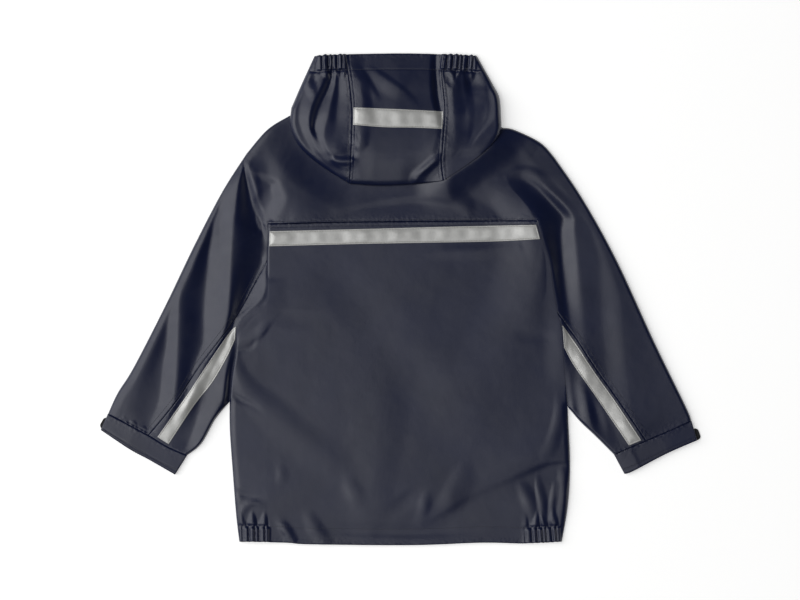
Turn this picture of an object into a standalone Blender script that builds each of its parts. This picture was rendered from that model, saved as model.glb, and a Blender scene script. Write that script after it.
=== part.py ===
"""Kids raincoat, size 98 to 104, laid flat on its front with the back up and the hood at the top.

Millimetres throughout, turned into metres when a mesh is made. X runs from the left sleeve to the
right one, Y from the hem to the hood and Z up from the surface that the coat lies on.
The coat is two layers: the fronts lie flat on the surface, and the back lies on them with its folds.
"""
import math

import bmesh
import bpy
from mathutils import Vector
from mathutils.geometry import delaunay_2d_cdt

MM = 0.001

CLOTH_WALL = 1.4
TAPE_WALL = 1.0
SEAM_GAP = 0.3
POINT_SPACING = 12.5
RIM_SPACING = 5.0

FLOOR_TOP = CLOTH_WALL
BACK_REST = FLOOR_TOP + SEAM_GAP + CLOTH_WALL
BODY_LOFT = 3.6
SLEEVE_LOFT = 5.6
BODY_HALF_WIDTH = 150.0
LOFT_BLEND = 60.0
EDGE_ROLL = 15.0

HOOD_REST_ON_YOKE = BACK_REST + SEAM_GAP + CLOTH_WALL
HOOD_LOFT_LOW = 15.0
HOOD_LOFT_TOP = 6.0
HOOD_ROLL = 30.0
HOOD_TOP_ROLL = 34.0
NECK_Y = 228.0
NECK_RAMP = 30.0
HOOD_LENGTH = 160.0
PRESSED_BAND = 40.0

PLACKET_HALF_WIDTH = 22.0
CUFF_REST = CLOTH_WALL + SEAM_GAP
CUFF_END_HEIGHT = 3.4
CUFF_LOFT = 2.2
TAB_LENGTH = 55.0
TAB_WIDTH = 15.0
SCALLOP = 0.8

NAVY = (0.030, 0.033, 0.046, 1.0)
SILVER = (0.47, 0.46, 0.44, 1.0)
BLACK = (0.010, 0.010, 0.012, 1.0)

# Seams, folds and edges, seen from above. Each is a smooth curve through its points (x, y).
CURVES = {
    "left_shoulder": [(-139, 229), (-166, 212), (-192, 182)],
    "left_sleeve_outer": [
        (-192, 182), (-222, 135), (-257, 68), (-293, -7), (-333, -85), (-353, -117), (-365, -143)],
    "left_cuff_back": [(-365, -143), (-340, -156), (-314, -170)],
    "left_cuff_front": [(-314, -170), (-291, -184), (-266, -195)],
    "left_cuff_edge": [(-374, -163), (-338, -187), (-314, -200), (-281, -219)],
    "left_inner": [(-266, -195), (-248, -180), (-231, -150), (-213, -128)],
    "left_sleeve_seam": [(-166, 48), (-199, -13), (-218, -42), (-250, -83), (-278, -126), (-314, -170)],
    "left_armhole_high": [(-192, 182), (-191, 155), (-187, 118)],
    "left_armhole_low": [(-187, 118), (-178, 93), (-165, 77)],
    "left_armhole_front": [(-192, 182), (-178, 124), (-180, 49), (-195, -38), (-213, -128)],
    "left_side_yoke": [(-165, 94), (-165, 77)],
    "left_side_top": [(-165, 77), (-166, 62), (-166, 48)],
    "left_side_mid": [
        (-166, 48), (-166, -3), (-186, -16), (-201, -32), (-205, -67), (-210, -93), (-213, -128)],
    "left_side_low": [(-213, -128), (-213, -163), (-209, -220), (-205, -270), (-201, -303)],
    "right_shoulder": [(127, 214), (142, 212), (175, 196), (193, 177)],
    "right_sleeve_outer": [(193, 177), (229, 124), (271, 48), (318, -54), (357, -134), (364, -152)],
    "right_cuff_back": [(364, -152), (335, -165), (307, -177)],
    "right_cuff_front": [(307, -177), (288, -185), (267, -194)],
    "right_cuff_edge": [(371, -176), (332, -193), (290, -215), (280, -218)],
    "right_inner": [(267, -194), (244, -171), (225, -153), (209, -134)],
    "right_sleeve_seam": [(196, -16), (219, -48), (244, -86), (275, -130), (307, -177)],
    "right_armhole_high": [(127, 214), (125, 184), (132, 149)],
    "right_armhole_low": [(132, 149), (139, 135), (154, 123), (170, 98)],
    "right_armhole_front": [(193, 177), (179, 118), (181, 43), (195, -45), (209, -134)],
    "right_side_top": [(170, 98), (177, 74), (186, 48), (191, 12), (196, -16)],
    "right_side_mid": [(196, -16), (201, -38), (203, -66), (206, -101), (209, -134)],
    "right_side_low": [(209, -134), (212, -188), (212, -226), (209, -263), (202, -303)],
    "yoke_seam": [(-165, 94), (-88, 96), (0, 97), (170, 98)],
    "hem": [(-201, -303), (-141, -304), (-113, -306), (15, -307), (101, -304), (158, -305), (202, -303)],
    "neck_left": [(-139, 229), (-78, 245), (-38, 223), (0, 214)],
    "neck_right": [(0, 214), (37, 222), (77, 239), (127, 214)],
    "hood_top": [(-107, 304), (-68, 306), (0, 307), (56, 306), (96, 304)],
    "hood_left_high": [(-107, 304), (-124, 267), (-136, 239)],
    "hood_left_low": [(-136, 239), (-137, 215), (-126, 190), (-100, 167), (-63, 144)],
    "hood_right_high": [(96, 304), (115, 270), (124, 252), (126, 228)],
    "hood_right_low": [(126, 228), (126, 212), (120, 200), (99, 179), (54, 148)],
    "hood_bottom": [(-63, 144), (-25, 142), (15, 144), (54, 148)],
    "hood_left_seam": [(-68, 306), (-60, 242), (-61, 179), (-63, 144)],
    "hood_right_seam": [(56, 306), (52, 282), (56, 234), (52, 172), (54, 148)],
    "left_face_edge": [(0, 214), (-20, 238), (-62, 275), (-98, 304)],
    "right_face_edge": [(0, 214), (20, 238), (58, 274), (87, 304)],
}

# Outlines of the cut pieces as runs of curves. A minus sign runs a curve backwards.
PANELS = {
    "back_body": [
        "yoke_seam", "right_side_top", "right_side_mid", "right_side_low", "-hem",
        "-left_side_low", "-left_side_mid", "-left_side_top", "-left_side_yoke"],
    "back_yoke": [
        "left_shoulder", "left_armhole_high", "left_armhole_low", "-left_side_yoke", "yoke_seam",
        "-right_armhole_low", "-right_armhole_high", "-neck_right", "-neck_left"],
    "sleeve_left_upper": [
        "left_sleeve_outer", "left_cuff_back", "-left_sleeve_seam", "-left_side_top",
        "-left_armhole_low", "-left_armhole_high"],
    "sleeve_right_upper": [
        "right_shoulder", "right_sleeve_outer", "right_cuff_back", "-right_sleeve_seam",
        "-right_side_top", "-right_armhole_low", "-right_armhole_high"],
    "sleeve_left_under": ["left_sleeve_seam", "left_cuff_front", "left_inner", "-left_side_mid"],
    "sleeve_right_under": ["right_sleeve_seam", "right_cuff_front", "right_inner", "-right_side_mid"],
    "sleeve_left_front": [
        "left_sleeve_outer", "left_cuff_back", "left_cuff_front", "left_inner", "-left_armhole_front"],
    "sleeve_right_front": [
        "right_sleeve_outer", "right_cuff_back", "right_cuff_front", "right_inner",
        "-right_armhole_front"],
    "fronts": [
        "left_shoulder", "left_armhole_front", "left_side_low", "hem", "-right_side_low",
        "-right_armhole_front", "-right_shoulder", "-neck_right", "-neck_left"],
    "hood_centre": ["hood_left_seam", "hood_bottom", "-hood_right_seam"],
    "hood_left": ["hood_left_high", "hood_left_low", "-hood_left_seam"],
    "hood_right": ["hood_right_seam", "-hood_right_low", "-hood_right_high"],
    "hood_left_under": ["hood_left_high", "neck_left", "left_face_edge"],
    "hood_right_under": ["hood_right_high", "-neck_right", "right_face_edge"],
    "hood": [
        "hood_left_high", "hood_left_low", "hood_bottom", "-hood_right_low", "-hood_right_high",
        "-hood_top"],
}

# Edges where the back layer rolls down on to the layer below.
ROLLED_EDGES = [
    "left_shoulder", "left_sleeve_outer", "left_inner", "left_armhole_low", "left_side_yoke",
    "left_side_top", "left_side_mid", "left_side_low", "right_shoulder", "right_sleeve_outer",
    "right_inner", "right_armhole_low", "right_side_top", "right_side_mid", "right_side_low", "hem"]

# Largest folds: where, the line along the crest or the bottom, half width and height.
FOLDS = [
    ("sleeve", [(-195, 157), (-185, 105), (-185, 62), (-195, 12)], 16, -6.0),
    ("sleeve", [(-193, 174), (-210, 124), (-219, 62), (-233, -20), (-263, -76), (-285, -132)], 16, 3.4),
    ("sleeve", [(-236, 107), (-243, 62), (-258, -1), (-275, -51)], 12, -3.8),
    ("sleeve", [(-173, 18), (-191, -23)], 9, 2.0),
    ("sleeve", [(136, 147), (157, 137), (176, 117), (191, 80), (195, 37), (200, -7)], 16, -6.0),
    ("sleeve", [(212, 137), (240, 49), (265, -38), (290, -132)], 24, 3.0),
    ("torso", [(-193, 162), (-171, 162), (-150, 153), (-141, 132), (-145, 110), (-155, 97)], 9, 2.2),
    ("torso", [(-173, 142), (-173, 117), (-168, 98)], 8, -2.2),
    ("torso", [(135, 159), (170, 162)], 9, 1.6),
    ("torso", [(-173, -8), (-191, -57)], 12, 2.2),
    ("torso", [(-205, -91), (-185, -87)], 7, -1.8),
    ("torso", [(162, 77), (131, 9)], 22, 1.8),
    ("torso", [(206, -205), (131, -226), (37, -276)], 20, -2.2),
    ("torso", [(85, -213), (69, -257)], 14, 1.4),
    ("torso", [(-125, -257), (-105, -300)], 15, 1.4),
    ("torso", [(181, -220), (144, -291)], 14, 1.8),
    ("torso", [(-125, -1), (25, -38), (87, -151)], 42, 1.4),
    ("hood", [(-88, 284), (-98, 249), (-108, 218)], 10, -5.0),
    ("hood", [(-78, 276), (-86, 218)], 8, 2.2),
    ("hood", [(-125, 214), (-100, 189), (-75, 172)], 10, 2.4),
    ("hood", [(-61, 190), (-61, 168)], 9, -3.5),
    ("hood", [(-54, 279), (-13, 254)], 16, 1.4),
    ("hood", [(46, 299), (45, 243)], 9, -3.0),
    ("hood", [(15, 152), (37, 168), (50, 177)], 8, 1.8),
    ("hood", [(69, 284), (90, 259)], 10, -3.5),
    ("hood", [(115, 234), (85, 187)], 12, 2.2),
]

# Elastic gathers: edge, first and last x, number of waves, wave height and length of the folds.
GATHERS = [
    ("hem", -199.0, -164.0, 6, 1.7, 24.0),
    ("hem", 158.0, 200.0, 7, 1.7, 26.0),
    ("hood_top", -104.0, -68.0, 6, 1.7, 20.0),
    ("hood_top", 51.0, 94.0, 7, 1.7, 20.0),
]

# Reflective strips: the panel that carries each, and its two long edges.
STRIPS = {
    "stripe_back": (
        "back_body",
        [(-163, 85), (-40, 88), (69, 91), (169.5, 93)],
        [(-163.5, 66), (-46, 69), (114, 72), (174.5, 75)]),
    "stripe_hood": (
        "hood_centre",
        [(-58, 239), (-19, 237.5), (15, 236), (53.5, 234)],
        [(-58.5, 217), (-19, 214), (15, 213.5), (52.5, 212)]),
    "stripe_sleeve_left": (
        "sleeve_left_under",
        [(-205, -34), (-214, -43), (-245, -88), (-265, -118), (-303, -172)],
        [(-206, -50), (-216, -72), (-234, -103), (-258, -134), (-289, -181)]),
    "stripe_sleeve_right": (
        "sleeve_right_under",
        [(202.5, -32), (220.5, -57), (242, -90), (269, -128), (301, -176)],
        [(204.5, -60), (217, -83), (243, -120), (285.5, -182.5)]),
}

# Hook-and-loop tabs: outer end and inner end of the line along the cuff.
TABS = {
    "cuff_tab_left": ((-373, -153), (-274, -207)),
    "cuff_tab_right": ((374, -167), (274, -206)),
}


def smooth_step(value):
    """Rise from 0 to 1 with level ends."""
    t = min(max(value, 0.0), 1.0)
    return t * t * (3.0 - 2.0 * t)


def quarter_round(value):
    """Rise from 0 to 1 along a quarter circle, steep at first."""
    t = min(max(value, 0.0), 1.0)
    return math.sqrt(1.0 - (1.0 - t) ** 2)


def between_points(p, q, r, s, t):
    """Catmull-Rom value from q to r, with p before and s after them."""
    slope = r - p
    bend = 2 * p - 5 * q + 4 * r - s
    twist = 3 * q - p - 3 * r + s
    return 0.5 * (2 * q + slope * t + bend * t ** 2 + twist * t ** 3)


def spline(points, parts=8):
    """Catmull-Rom curve through the points."""
    padded = [points[0]] + list(points) + [points[-1]]
    curve = []
    for a, b, c, d in zip(padded, padded[1:], padded[2:], padded[3:]):
        for k in range(parts):
            curve.append(tuple(between_points(a[i], b[i], c[i], d[i], k / parts) for i in (0, 1)))
    return curve + [tuple(points[-1])]


def resample(line, count):
    """Even points along a line of points, count spans long."""
    lengths = [0.0]
    for a, b in zip(line, line[1:]):
        lengths.append(lengths[-1] + math.dist(a, b))
    out = []
    span = 0
    for k in range(count + 1):
        target = lengths[-1] * k / count
        while span < len(line) - 2 and lengths[span + 1] < target:
            span += 1
        t = (target - lengths[span]) / (lengths[span + 1] - lengths[span])
        out.append(tuple(p + (q - p) * t for p, q in zip(line[span], line[span + 1])))
    return out


def even_line(points, spacing):
    """Smooth curve through the points, resampled about every spacing."""
    line = spline(points)
    length = sum(math.dist(a, b) for a, b in zip(line, line[1:]))
    return resample(line, max(1, round(length / spacing)))


def height_at(line, x):
    """The y of a line of points that runs towards +X, at x."""
    for a, b in zip(line, line[1:]):
        if a[0] <= x <= b[0]:
            return a[1] + (b[1] - a[1]) * (x - a[0]) / (b[0] - a[0])
    return line[0][1] if x < line[0][0] else line[-1][1]


def gathered_line(name):
    """Edge with elastic: it scallops in and out by half waves where it is gathered."""
    line = spline(CURVES[name])
    stops = {line[0][0]: 0.0, line[-1][0]: 0.0}
    zones = [(first, last, waves) for edge, first, last, waves, _, _ in GATHERS if edge == name]
    for first, last, waves in zones:
        for k in range(2 * waves + 1):
            stops[first + (last - first) * k / (2 * waves)] = SCALLOP if k % 2 else 0.0
    middle_start = zones[0][1]
    middle_end = zones[1][0]
    count = round((middle_end - middle_start) / POINT_SPACING)
    for k in range(1, count):
        stops[middle_start + (middle_end - middle_start) * k / count] = 0.0
    inward = 1.0 if name == "hem" else -1.0
    return [(x, height_at(line, x) + inward * dip) for x, dip in sorted(stops.items())]


LINES = {name: even_line(points, POINT_SPACING) for name, points in CURVES.items()}
LINES["hem"] = gathered_line("hem")
LINES["hood_top"] = gathered_line("hood_top")


def join_lines(names):
    """Closed outline from runs of curves, anticlockwise, without doubled corners."""
    outline = []
    for name in names:
        line = LINES[name.lstrip("-")]
        for point in (reversed(line) if name.startswith("-") else line):
            if not outline or math.dist(outline[-1], point) > 0.05:
                outline.append(point)
    if math.dist(outline[0], outline[-1]) < 0.05:
        outline.pop()
    area = sum(a[0] * b[1] - b[0] * a[1] for a, b in zip(outline, outline[1:] + outline[:1]))
    return outline if area > 0 else outline[::-1]


def along_hood_top(first_x, last_x):
    """The stretch of the hood's gathered top edge between two x, without its ends."""
    return [p for p in LINES["hood_top"] if first_x + 1.0 < p[0] < last_x - 1.0]


def hood_outline(name):
    """Outline of an upper hood panel, closed along the gathered top edge."""
    outline = join_lines(PANELS[name])
    corners = {
        "hood_left": (CURVES["hood_left_high"][0], CURVES["hood_left_seam"][0]),
        "hood_centre": (CURVES["hood_left_seam"][0], CURVES["hood_right_seam"][0]),
        "hood_right": (CURVES["hood_right_seam"][0], CURVES["hood_right_high"][0]),
    }[name]
    right = min(range(len(outline)), key=lambda k: math.dist(outline[k], corners[1]))
    between = along_hood_top(corners[0][0], corners[1][0])
    return outline[:right + 1] + between[::-1] + outline[right + 1:]


def inset(outline, distance):
    """Move an anticlockwise outline inwards, along the bisector of each corner."""
    out = []
    for before, here, after in zip(outline[-1:] + outline[:-1], outline, outline[1:] + outline[:1]):
        u = (Vector(here) - Vector(before)).normalized()
        v = (Vector(after) - Vector(here)).normalized()
        side = Vector((-u.y - v.y, u.x + v.x))
        if side.length < 0.2:
            side = v - u
        side.normalize()
        reach = distance / max(abs(side.dot(Vector((-u.y, u.x)))), 0.3)
        out.append((here[0] + side.x * reach, here[1] + side.y * reach))
    return out


def clip_x(outline, limit, keep):
    """Cut an outline along x = limit and keep one side, +1 for larger x and -1 for smaller x."""
    out = []
    for a, b in zip(outline, outline[1:] + outline[:1]):
        a_in = (a[0] - limit) * keep >= 0.0
        b_in = (b[0] - limit) * keep >= 0.0
        if a_in:
            out.append(a)
        if a_in != b_in:
            t = (limit - a[0]) / (b[0] - a[0])
            out.append((limit, a[1] + (b[1] - a[1]) * t))
    return out


def inside(point, outline):
    """Whether a point lies in an outline."""
    x, y = point
    result = False
    for a, b in zip(outline, outline[1:] + outline[:1]):
        if (a[1] > y) != (b[1] > y) and x < a[0] + (b[0] - a[0]) * (y - a[1]) / (b[1] - a[1]):
            result = not result
    return result


def line_distance(point, line):
    """Distance from a point to a line of points, and how far along the line the nearest place is."""
    x, y = point
    best = (1e9, 0.0)
    travelled = 0.0
    for (ax, ay), (bx, by) in zip(line, line[1:]):
        length = math.hypot(bx - ax, by - ay)
        t = min(max(((x - ax) * (bx - ax) + (y - ay) * (by - ay)) / length ** 2, 0.0), 1.0)
        gap = math.hypot(x - ax - (bx - ax) * t, y - ay - (by - ay) * t)
        best = min(best, (gap, travelled + length * t))
        travelled += length
    return best


HOOD_OUTLINE = join_lines(PANELS["hood"])
ROLLED_LINES = [LINES[name] for name in ROLLED_EDGES]
HOOD_SIDE_LINES = [LINES[name] for name in (
    "hood_left_high", "hood_left_low", "hood_bottom", "hood_right_low", "hood_right_high")]
FOLD_LINES = [(part, even_line(points, 10.0), half, height) for part, points, half, height in FOLDS]


def fold_height(part, point):
    """Sum of the part's folds at a point: round in section and tapered at both ends."""
    total = 0.0
    for owner, line, half_width, height in FOLD_LINES:
        if owner != part:
            continue
        gap, along = line_distance(point, line)
        if gap >= half_width:
            continue
        length = sum(math.dist(a, b) for a, b in zip(line, line[1:]))
        ends = smooth_step(min(along, length - along) / (1.2 * half_width) + 0.25)
        total += height * ends * math.cos(0.5 * math.pi * gap / half_width) ** 2
    return total


def gather_height(edge, point):
    """Waves of the elastic gathers, which fade away from the edge."""
    total = 0.0
    for name, first, last, waves, height, length in GATHERS:
        if name != edge or not first <= point[0] <= last:
            continue
        gap, _ = line_distance(point, LINES[name])
        fade = 1.0 - smooth_step((gap - 0.3 * length) / (0.7 * length))
        turn = 2.0 * math.pi * waves * (point[0] - first) / (last - first)
        total += height * fade * 0.5 * (1.0 - math.cos(turn))
    return total


def back_height(part, point):
    """Outer face of the back layer above the surface that the coat lies on."""
    outwards = smooth_step((abs(point[0]) - BODY_HALF_WIDTH) / LOFT_BLEND)
    loft = BODY_LOFT + (SLEEVE_LOFT - BODY_LOFT) * outwards
    edge = min(line_distance(point, line)[0] for line in ROLLED_LINES)
    rise = loft * quarter_round(edge / EDGE_ROLL) + fold_height(part, point)
    if inside(point, HOOD_OUTLINE):
        return BACK_REST
    under_hood = line_distance(point, HOOD_OUTLINE + HOOD_OUTLINE[:1])[0]
    rise *= smooth_step(under_hood / PRESSED_BAND - 0.15)
    return BACK_REST + max(rise, 0.0) + gather_height("hem", point)


def hood_height(part, point):
    """Outer face of the hood. It lies on the floor layer at the top and on the yoke below."""
    over_yoke = smooth_step((NECK_Y + NECK_RAMP - point[1]) / NECK_RAMP)
    rest = BACK_REST + (HOOD_REST_ON_YOKE - BACK_REST) * over_yoke
    down = smooth_step((LINES["hood_top"][0][1] - point[1]) / HOOD_LENGTH)
    loft = HOOD_LOFT_TOP + (HOOD_LOFT_LOW - HOOD_LOFT_TOP) * down
    side = min(line_distance(point, line)[0] for line in HOOD_SIDE_LINES)
    top = line_distance(point, LINES["hood_top"])[0]
    rise = loft * quarter_round(side / HOOD_ROLL) * (0.25 + 0.75 * smooth_step(top / HOOD_TOP_ROLL))
    rise += fold_height(part, point) * quarter_round(side / HOOD_ROLL)
    return rest + max(rise, 0.0) + gather_height("hood_top", point)


def feature_points(part, edge):
    """Points along the folds and on each crest and trough of the gathers, so that the mesh has them."""
    points = []
    for owner, line, half_width, _ in FOLD_LINES:
        if owner != part:
            continue
        for a, b in zip(line, line[1:]):
            along = (Vector(b) - Vector(a)).normalized()
            for side in (-1.0, 0.0, 1.0):
                points.append((a[0] - along.y * side * half_width, a[1] + along.x * side * half_width))
    inward = 1.0 if edge == "hem" else -1.0
    gathers = []
    for name, first, last, waves, _, length in GATHERS:
        if name != edge:
            continue
        for k in range(2 * waves + 1):
            x = first + (last - first) * k / (2 * waves)
            y = height_at(LINES[name], x)
            gathers += [(x, y + inward * length * share) for share in (0.3, 0.65, 1.0)]
    return points, gathers


def panel_points(outline, part, edge, marks):
    """Points inside an outline: marks, gathers, folds, a ring by the rim and an even lattice."""
    folds, gathers = feature_points(part, edge)
    lattice = []
    low_x = min(p[0] for p in outline)
    low_y = min(p[1] for p in outline)
    rows = int((max(p[1] for p in outline) - low_y) / (0.87 * POINT_SPACING)) + 1
    columns = int((max(p[0] for p in outline) - low_x) / POINT_SPACING) + 1
    for row in range(rows):
        for column in range(columns):
            x = low_x + POINT_SPACING * (column + 0.5 * (row % 2))
            lattice.append((x, low_y + 0.87 * POINT_SPACING * row))
    ring = inset(outline, RIM_SPACING)
    fixed = [p for mark in marks for p in mark]
    rim = outline + outline[:1]
    kept = []
    kinds = [
        (gathers, 1.5, 2.0),
        (ring, 0.8 * RIM_SPACING, 0.6 * POINT_SPACING),
        (folds, 0.8 * RIM_SPACING, 0.5 * POINT_SPACING),
        (lattice, 0.6 * POINT_SPACING, 0.7 * POINT_SPACING)]
    for candidates, rim_clearance, clearance in kinds:
        for p in candidates:
            if not inside(p, outline) or line_distance(p, rim)[0] < rim_clearance:
                continue
            if all(math.dist(p, q) >= clearance for q in kept + fixed):
                kept.append(p)
    return kept


def triangulate(outline, extra, marks):
    """Triangles that fill an outline, with the marks' edges kept."""
    coords = [Vector(p) for p in outline]
    edges = []
    for mark in marks:
        start = len(coords)
        coords += [Vector(p) for p in mark]
        edges += [(start + k, start + (k + 1) % len(mark)) for k in range(len(mark))]
    coords += [Vector(p) for p in extra]
    face = list(range(len(outline)))
    points, _, triangles, _, _, _ = delaunay_2d_cdt(coords, edges, [face], 1, 0.001)
    return [(p.x, p.y) for p in points], [tuple(t) for t in triangles]


def wall_solid(name, points, triangles, top, bottom, colour, roughness):
    """Closed wall between two heights over a set of triangles, as an object of its own."""
    used = sorted({k for t in triangles for k in t})
    low = [min(points[k][i] for k in used) for i in (0, 1)]
    high = [max(points[k][i] for k in used) for i in (0, 1)]
    centre = Vector([0.5 * (a + b) for a, b in zip(low, high)])
    bm = bmesh.new()
    upper = {}
    lower = {}
    for k in used:
        x = points[k][0] - centre.x
        y = points[k][1] - centre.y
        upper[k] = bm.verts.new(Vector((x, y, top[k])) * MM)
        lower[k] = bm.verts.new(Vector((x, y, bottom[k])) * MM)
    rim = {}
    for a, b, c in triangles:
        bm.faces.new((upper[a], upper[b], upper[c]))
        bm.faces.new((lower[c], lower[b], lower[a]))
        for p, q in ((a, b), (b, c), (c, a)):
            if (q, p) in rim:
                del rim[(q, p)]
            else:
                rim[(p, q)] = True
    for p, q in rim:
        bm.faces.new((lower[p], lower[q], upper[q], upper[p]))
    return finish_object(name, bm, centre, colour, roughness)


def finish_object(name, bm, centre, colour, roughness):
    """Object at its own centre, with its own material."""
    bmesh.ops.recalc_face_normals(bm, faces=bm.faces)
    mesh = bpy.data.meshes.new(name)
    bm.to_mesh(mesh)
    bm.free()
    material = bpy.data.materials.new(name)
    material.use_nodes = True
    shader = material.node_tree.nodes["Principled BSDF"]
    shader.inputs["Base Color"].default_value = colour
    shader.inputs["Roughness"].default_value = roughness
    mesh.materials.append(material)
    mesh.shade_smooth()
    mesh.set_sharp_from_angle(angle=math.radians(40.0))
    piece = bpy.data.objects.new(name, mesh)
    piece.location = (centre.x * MM, centre.y * MM, 0.0)
    bpy.context.collection.objects.link(piece)
    return piece


def strip_outline(upper, lower):
    """Outline of a reflective strip between its two edges, with a point about every spacing."""
    corners = upper + lower[::-1]
    outline = []
    for a, b in zip(corners, corners[1:] + corners[:1]):
        count = max(1, round(math.dist(a, b) / POINT_SPACING))
        outline += resample([a, b], count)[:-1]
    return outline


def make_back_panel(name, outline, part, edge, height):
    """One panel of the back layer, with the strip that it carries."""
    strips = {}
    for strip, (owner, upper, lower) in STRIPS.items():
        if owner == name:
            strips[strip] = strip_outline(upper, lower)
    rim = inset(outline, 0.5 * SEAM_GAP)
    extra = panel_points(rim, part, edge, list(strips.values()))
    points, triangles = triangulate(rim, extra, list(strips.values()))
    top = [height(part, p) for p in points]
    bottom = [z - CLOTH_WALL for z in top]
    wall_solid(name, points, triangles, top, bottom, NAVY, 0.42)
    for strip, strip_rim in strips.items():
        under = []
        for t in triangles:
            centre = tuple(sum(points[k][i] for k in t) / 3.0 for i in (0, 1))
            if inside(centre, strip_rim):
                under.append(t)
        base = [z + SEAM_GAP for z in top]
        face = [z + TAPE_WALL for z in base]
        wall_solid(strip, points, under, face, base, SILVER, 0.45)


def make_floor_panel(name, outline, colour, roughness):
    """One panel of the floor layer: flat, and as thick as the cloth."""
    rim = inset(outline, 0.5 * SEAM_GAP)
    points, triangles = triangulate(rim, [], [])
    wall_solid(name, points, triangles, [FLOOR_TOP] * len(points), [0.0] * len(points), colour, roughness)


def make_cuff(side):
    """Cuff as a flattened ring, open towards the sleeve and towards the hand."""
    seam = LINES[side + "_cuff_back"] + LINES[side + "_cuff_front"][1:]
    edge = resample(spline(CURVES[side + "_cuff_edge"]), len(seam) - 1)
    across = [(Vector(b) - Vector(a)).normalized() for a, b in zip(seam, edge)]
    seam = [Vector(p) + d * SEAM_GAP for p, d in zip(seam, across)]
    edge = [Vector(p) for p in edge]
    last = len(seam) - 1
    width = sum((b - a).length for a, b in zip(seam, seam[1:]))
    centre = 0.5 * (seam[0] + edge[last])
    bm = bmesh.new()

    def ring(line, wall):
        """Section of the cuff along a line, drawn in by the wall for its inner face."""
        verts = []
        for turn in (1, -1):
            for k in (range(last + 1) if turn > 0 else range(last, -1, -1)):
                share = k / last
                half = 0.5 * CUFF_END_HEIGHT + 0.5 * CUFF_LOFT * math.sin(math.pi * share)
                middle = CUFF_REST + half
                place = wall / width + share * (1.0 - 2.0 * wall / width)
                spot = place * last
                first = min(int(spot), last - 1)
                p = line[first].lerp(line[first + 1], spot - first) - centre
                verts.append(bm.verts.new(Vector((p.x, p.y, middle + turn * (half - wall))) * MM))
        return verts

    outer = [ring(seam, 0.0), ring(edge, 0.0)]
    inner = [ring(seam, CLOTH_WALL), ring(edge, CLOTH_WALL)]
    count = len(outer[0])
    for k in range(count):
        n = (k + 1) % count
        bm.faces.new((outer[0][k], outer[0][n], outer[1][n], outer[1][k]))
        bm.faces.new((inner[0][n], inner[0][k], inner[1][k], inner[1][n]))
        bm.faces.new((outer[0][n], outer[0][k], inner[0][k], inner[0][n]))
        bm.faces.new((outer[1][k], outer[1][n], inner[1][n], inner[1][k]))
    bmesh.ops.triangulate(bm, faces=bm.faces)
    finish_object("cuff_" + side, bm, centre, NAVY, 0.42)


def tab_outline(start, end):
    """Outline of a tab with rounded corners that runs from start towards end."""
    along = (Vector(end) - Vector(start)).normalized()
    side = Vector((-along.y, along.x))
    radius = 0.3 * TAB_WIDTH
    half = 0.5 * TAB_WIDTH - radius
    outline = []
    corners = [
        (radius, -half, 180), (TAB_LENGTH - radius, -half, 270),
        (TAB_LENGTH - radius, half, 0), (radius, half, 90)]
    for x, y, first in corners:
        for turn in (0, 30, 60, 90):
            angle = math.radians(first + turn)
            far = x + radius * math.cos(angle)
            off = y + radius * math.sin(angle)
            p = Vector(start) + along * far + side * off
            outline.append((p.x, p.y))
    return outline


def make_fronts():
    """Left front, placket and right front, side by side on the floor."""
    whole = join_lines(PANELS["fronts"])
    left = clip_x(whole, -PLACKET_HALF_WIDTH, -1.0)
    right = clip_x(whole, PLACKET_HALF_WIDTH, 1.0)
    middle = clip_x(clip_x(whole, -PLACKET_HALF_WIDTH, 1.0), PLACKET_HALF_WIDTH, -1.0)
    make_floor_panel("front_left", left, NAVY, 0.42)
    make_floor_panel("front_right", right, NAVY, 0.42)
    make_floor_panel("front_placket", middle, NAVY, 0.42)


def centre_on_origin():
    """Put the middle of the whole coat's footprint at the origin."""
    pieces = list(bpy.context.collection.objects)
    bpy.context.view_layer.update()
    corners = [piece.matrix_world @ vert.co for piece in pieces for vert in piece.data.vertices]
    for axis in (0, 1):
        middle = 0.5 * (min(c[axis] for c in corners) + max(c[axis] for c in corners))
        for piece in pieces:
            piece.location[axis] -= middle


for old in list(bpy.data.objects):
    bpy.data.objects.remove(old, do_unlink=True)

make_fronts()
for panel_name in ("sleeve_left_front", "sleeve_right_front", "hood_left_under", "hood_right_under"):
    make_floor_panel(panel_name, join_lines(PANELS[panel_name]), NAVY, 0.42)
for panel_name in ("back_body", "back_yoke"):
    make_back_panel(panel_name, join_lines(PANELS[panel_name]), "torso", "hem", back_height)
for panel_name in ("sleeve_left_upper", "sleeve_right_upper", "sleeve_left_under", "sleeve_right_under"):
    make_back_panel(panel_name, join_lines(PANELS[panel_name]), "sleeve", "hem", back_height)
for panel_name in ("hood_centre", "hood_left", "hood_right"):
    make_back_panel(panel_name, hood_outline(panel_name), "hood", "hood_top", hood_height)
make_cuff("left")
make_cuff("right")
for tab_name, (tab_start, tab_end) in TABS.items():
    make_floor_panel(tab_name, tab_outline(tab_start, tab_end), BLACK, 0.85)
centre_on_origin()
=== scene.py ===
"""Kids raincoat of coated cloth, laid flat on its front, with its back, hood and sleeves up.

Lengths are millimetres until a mesh is made. X runs from the left sleeve to the right one, Y from the
hem to the hood and Z up from the floor.
"""
import math

import bmesh
import bpy
import numpy as np
from mathutils import Matrix, Vector


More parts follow.
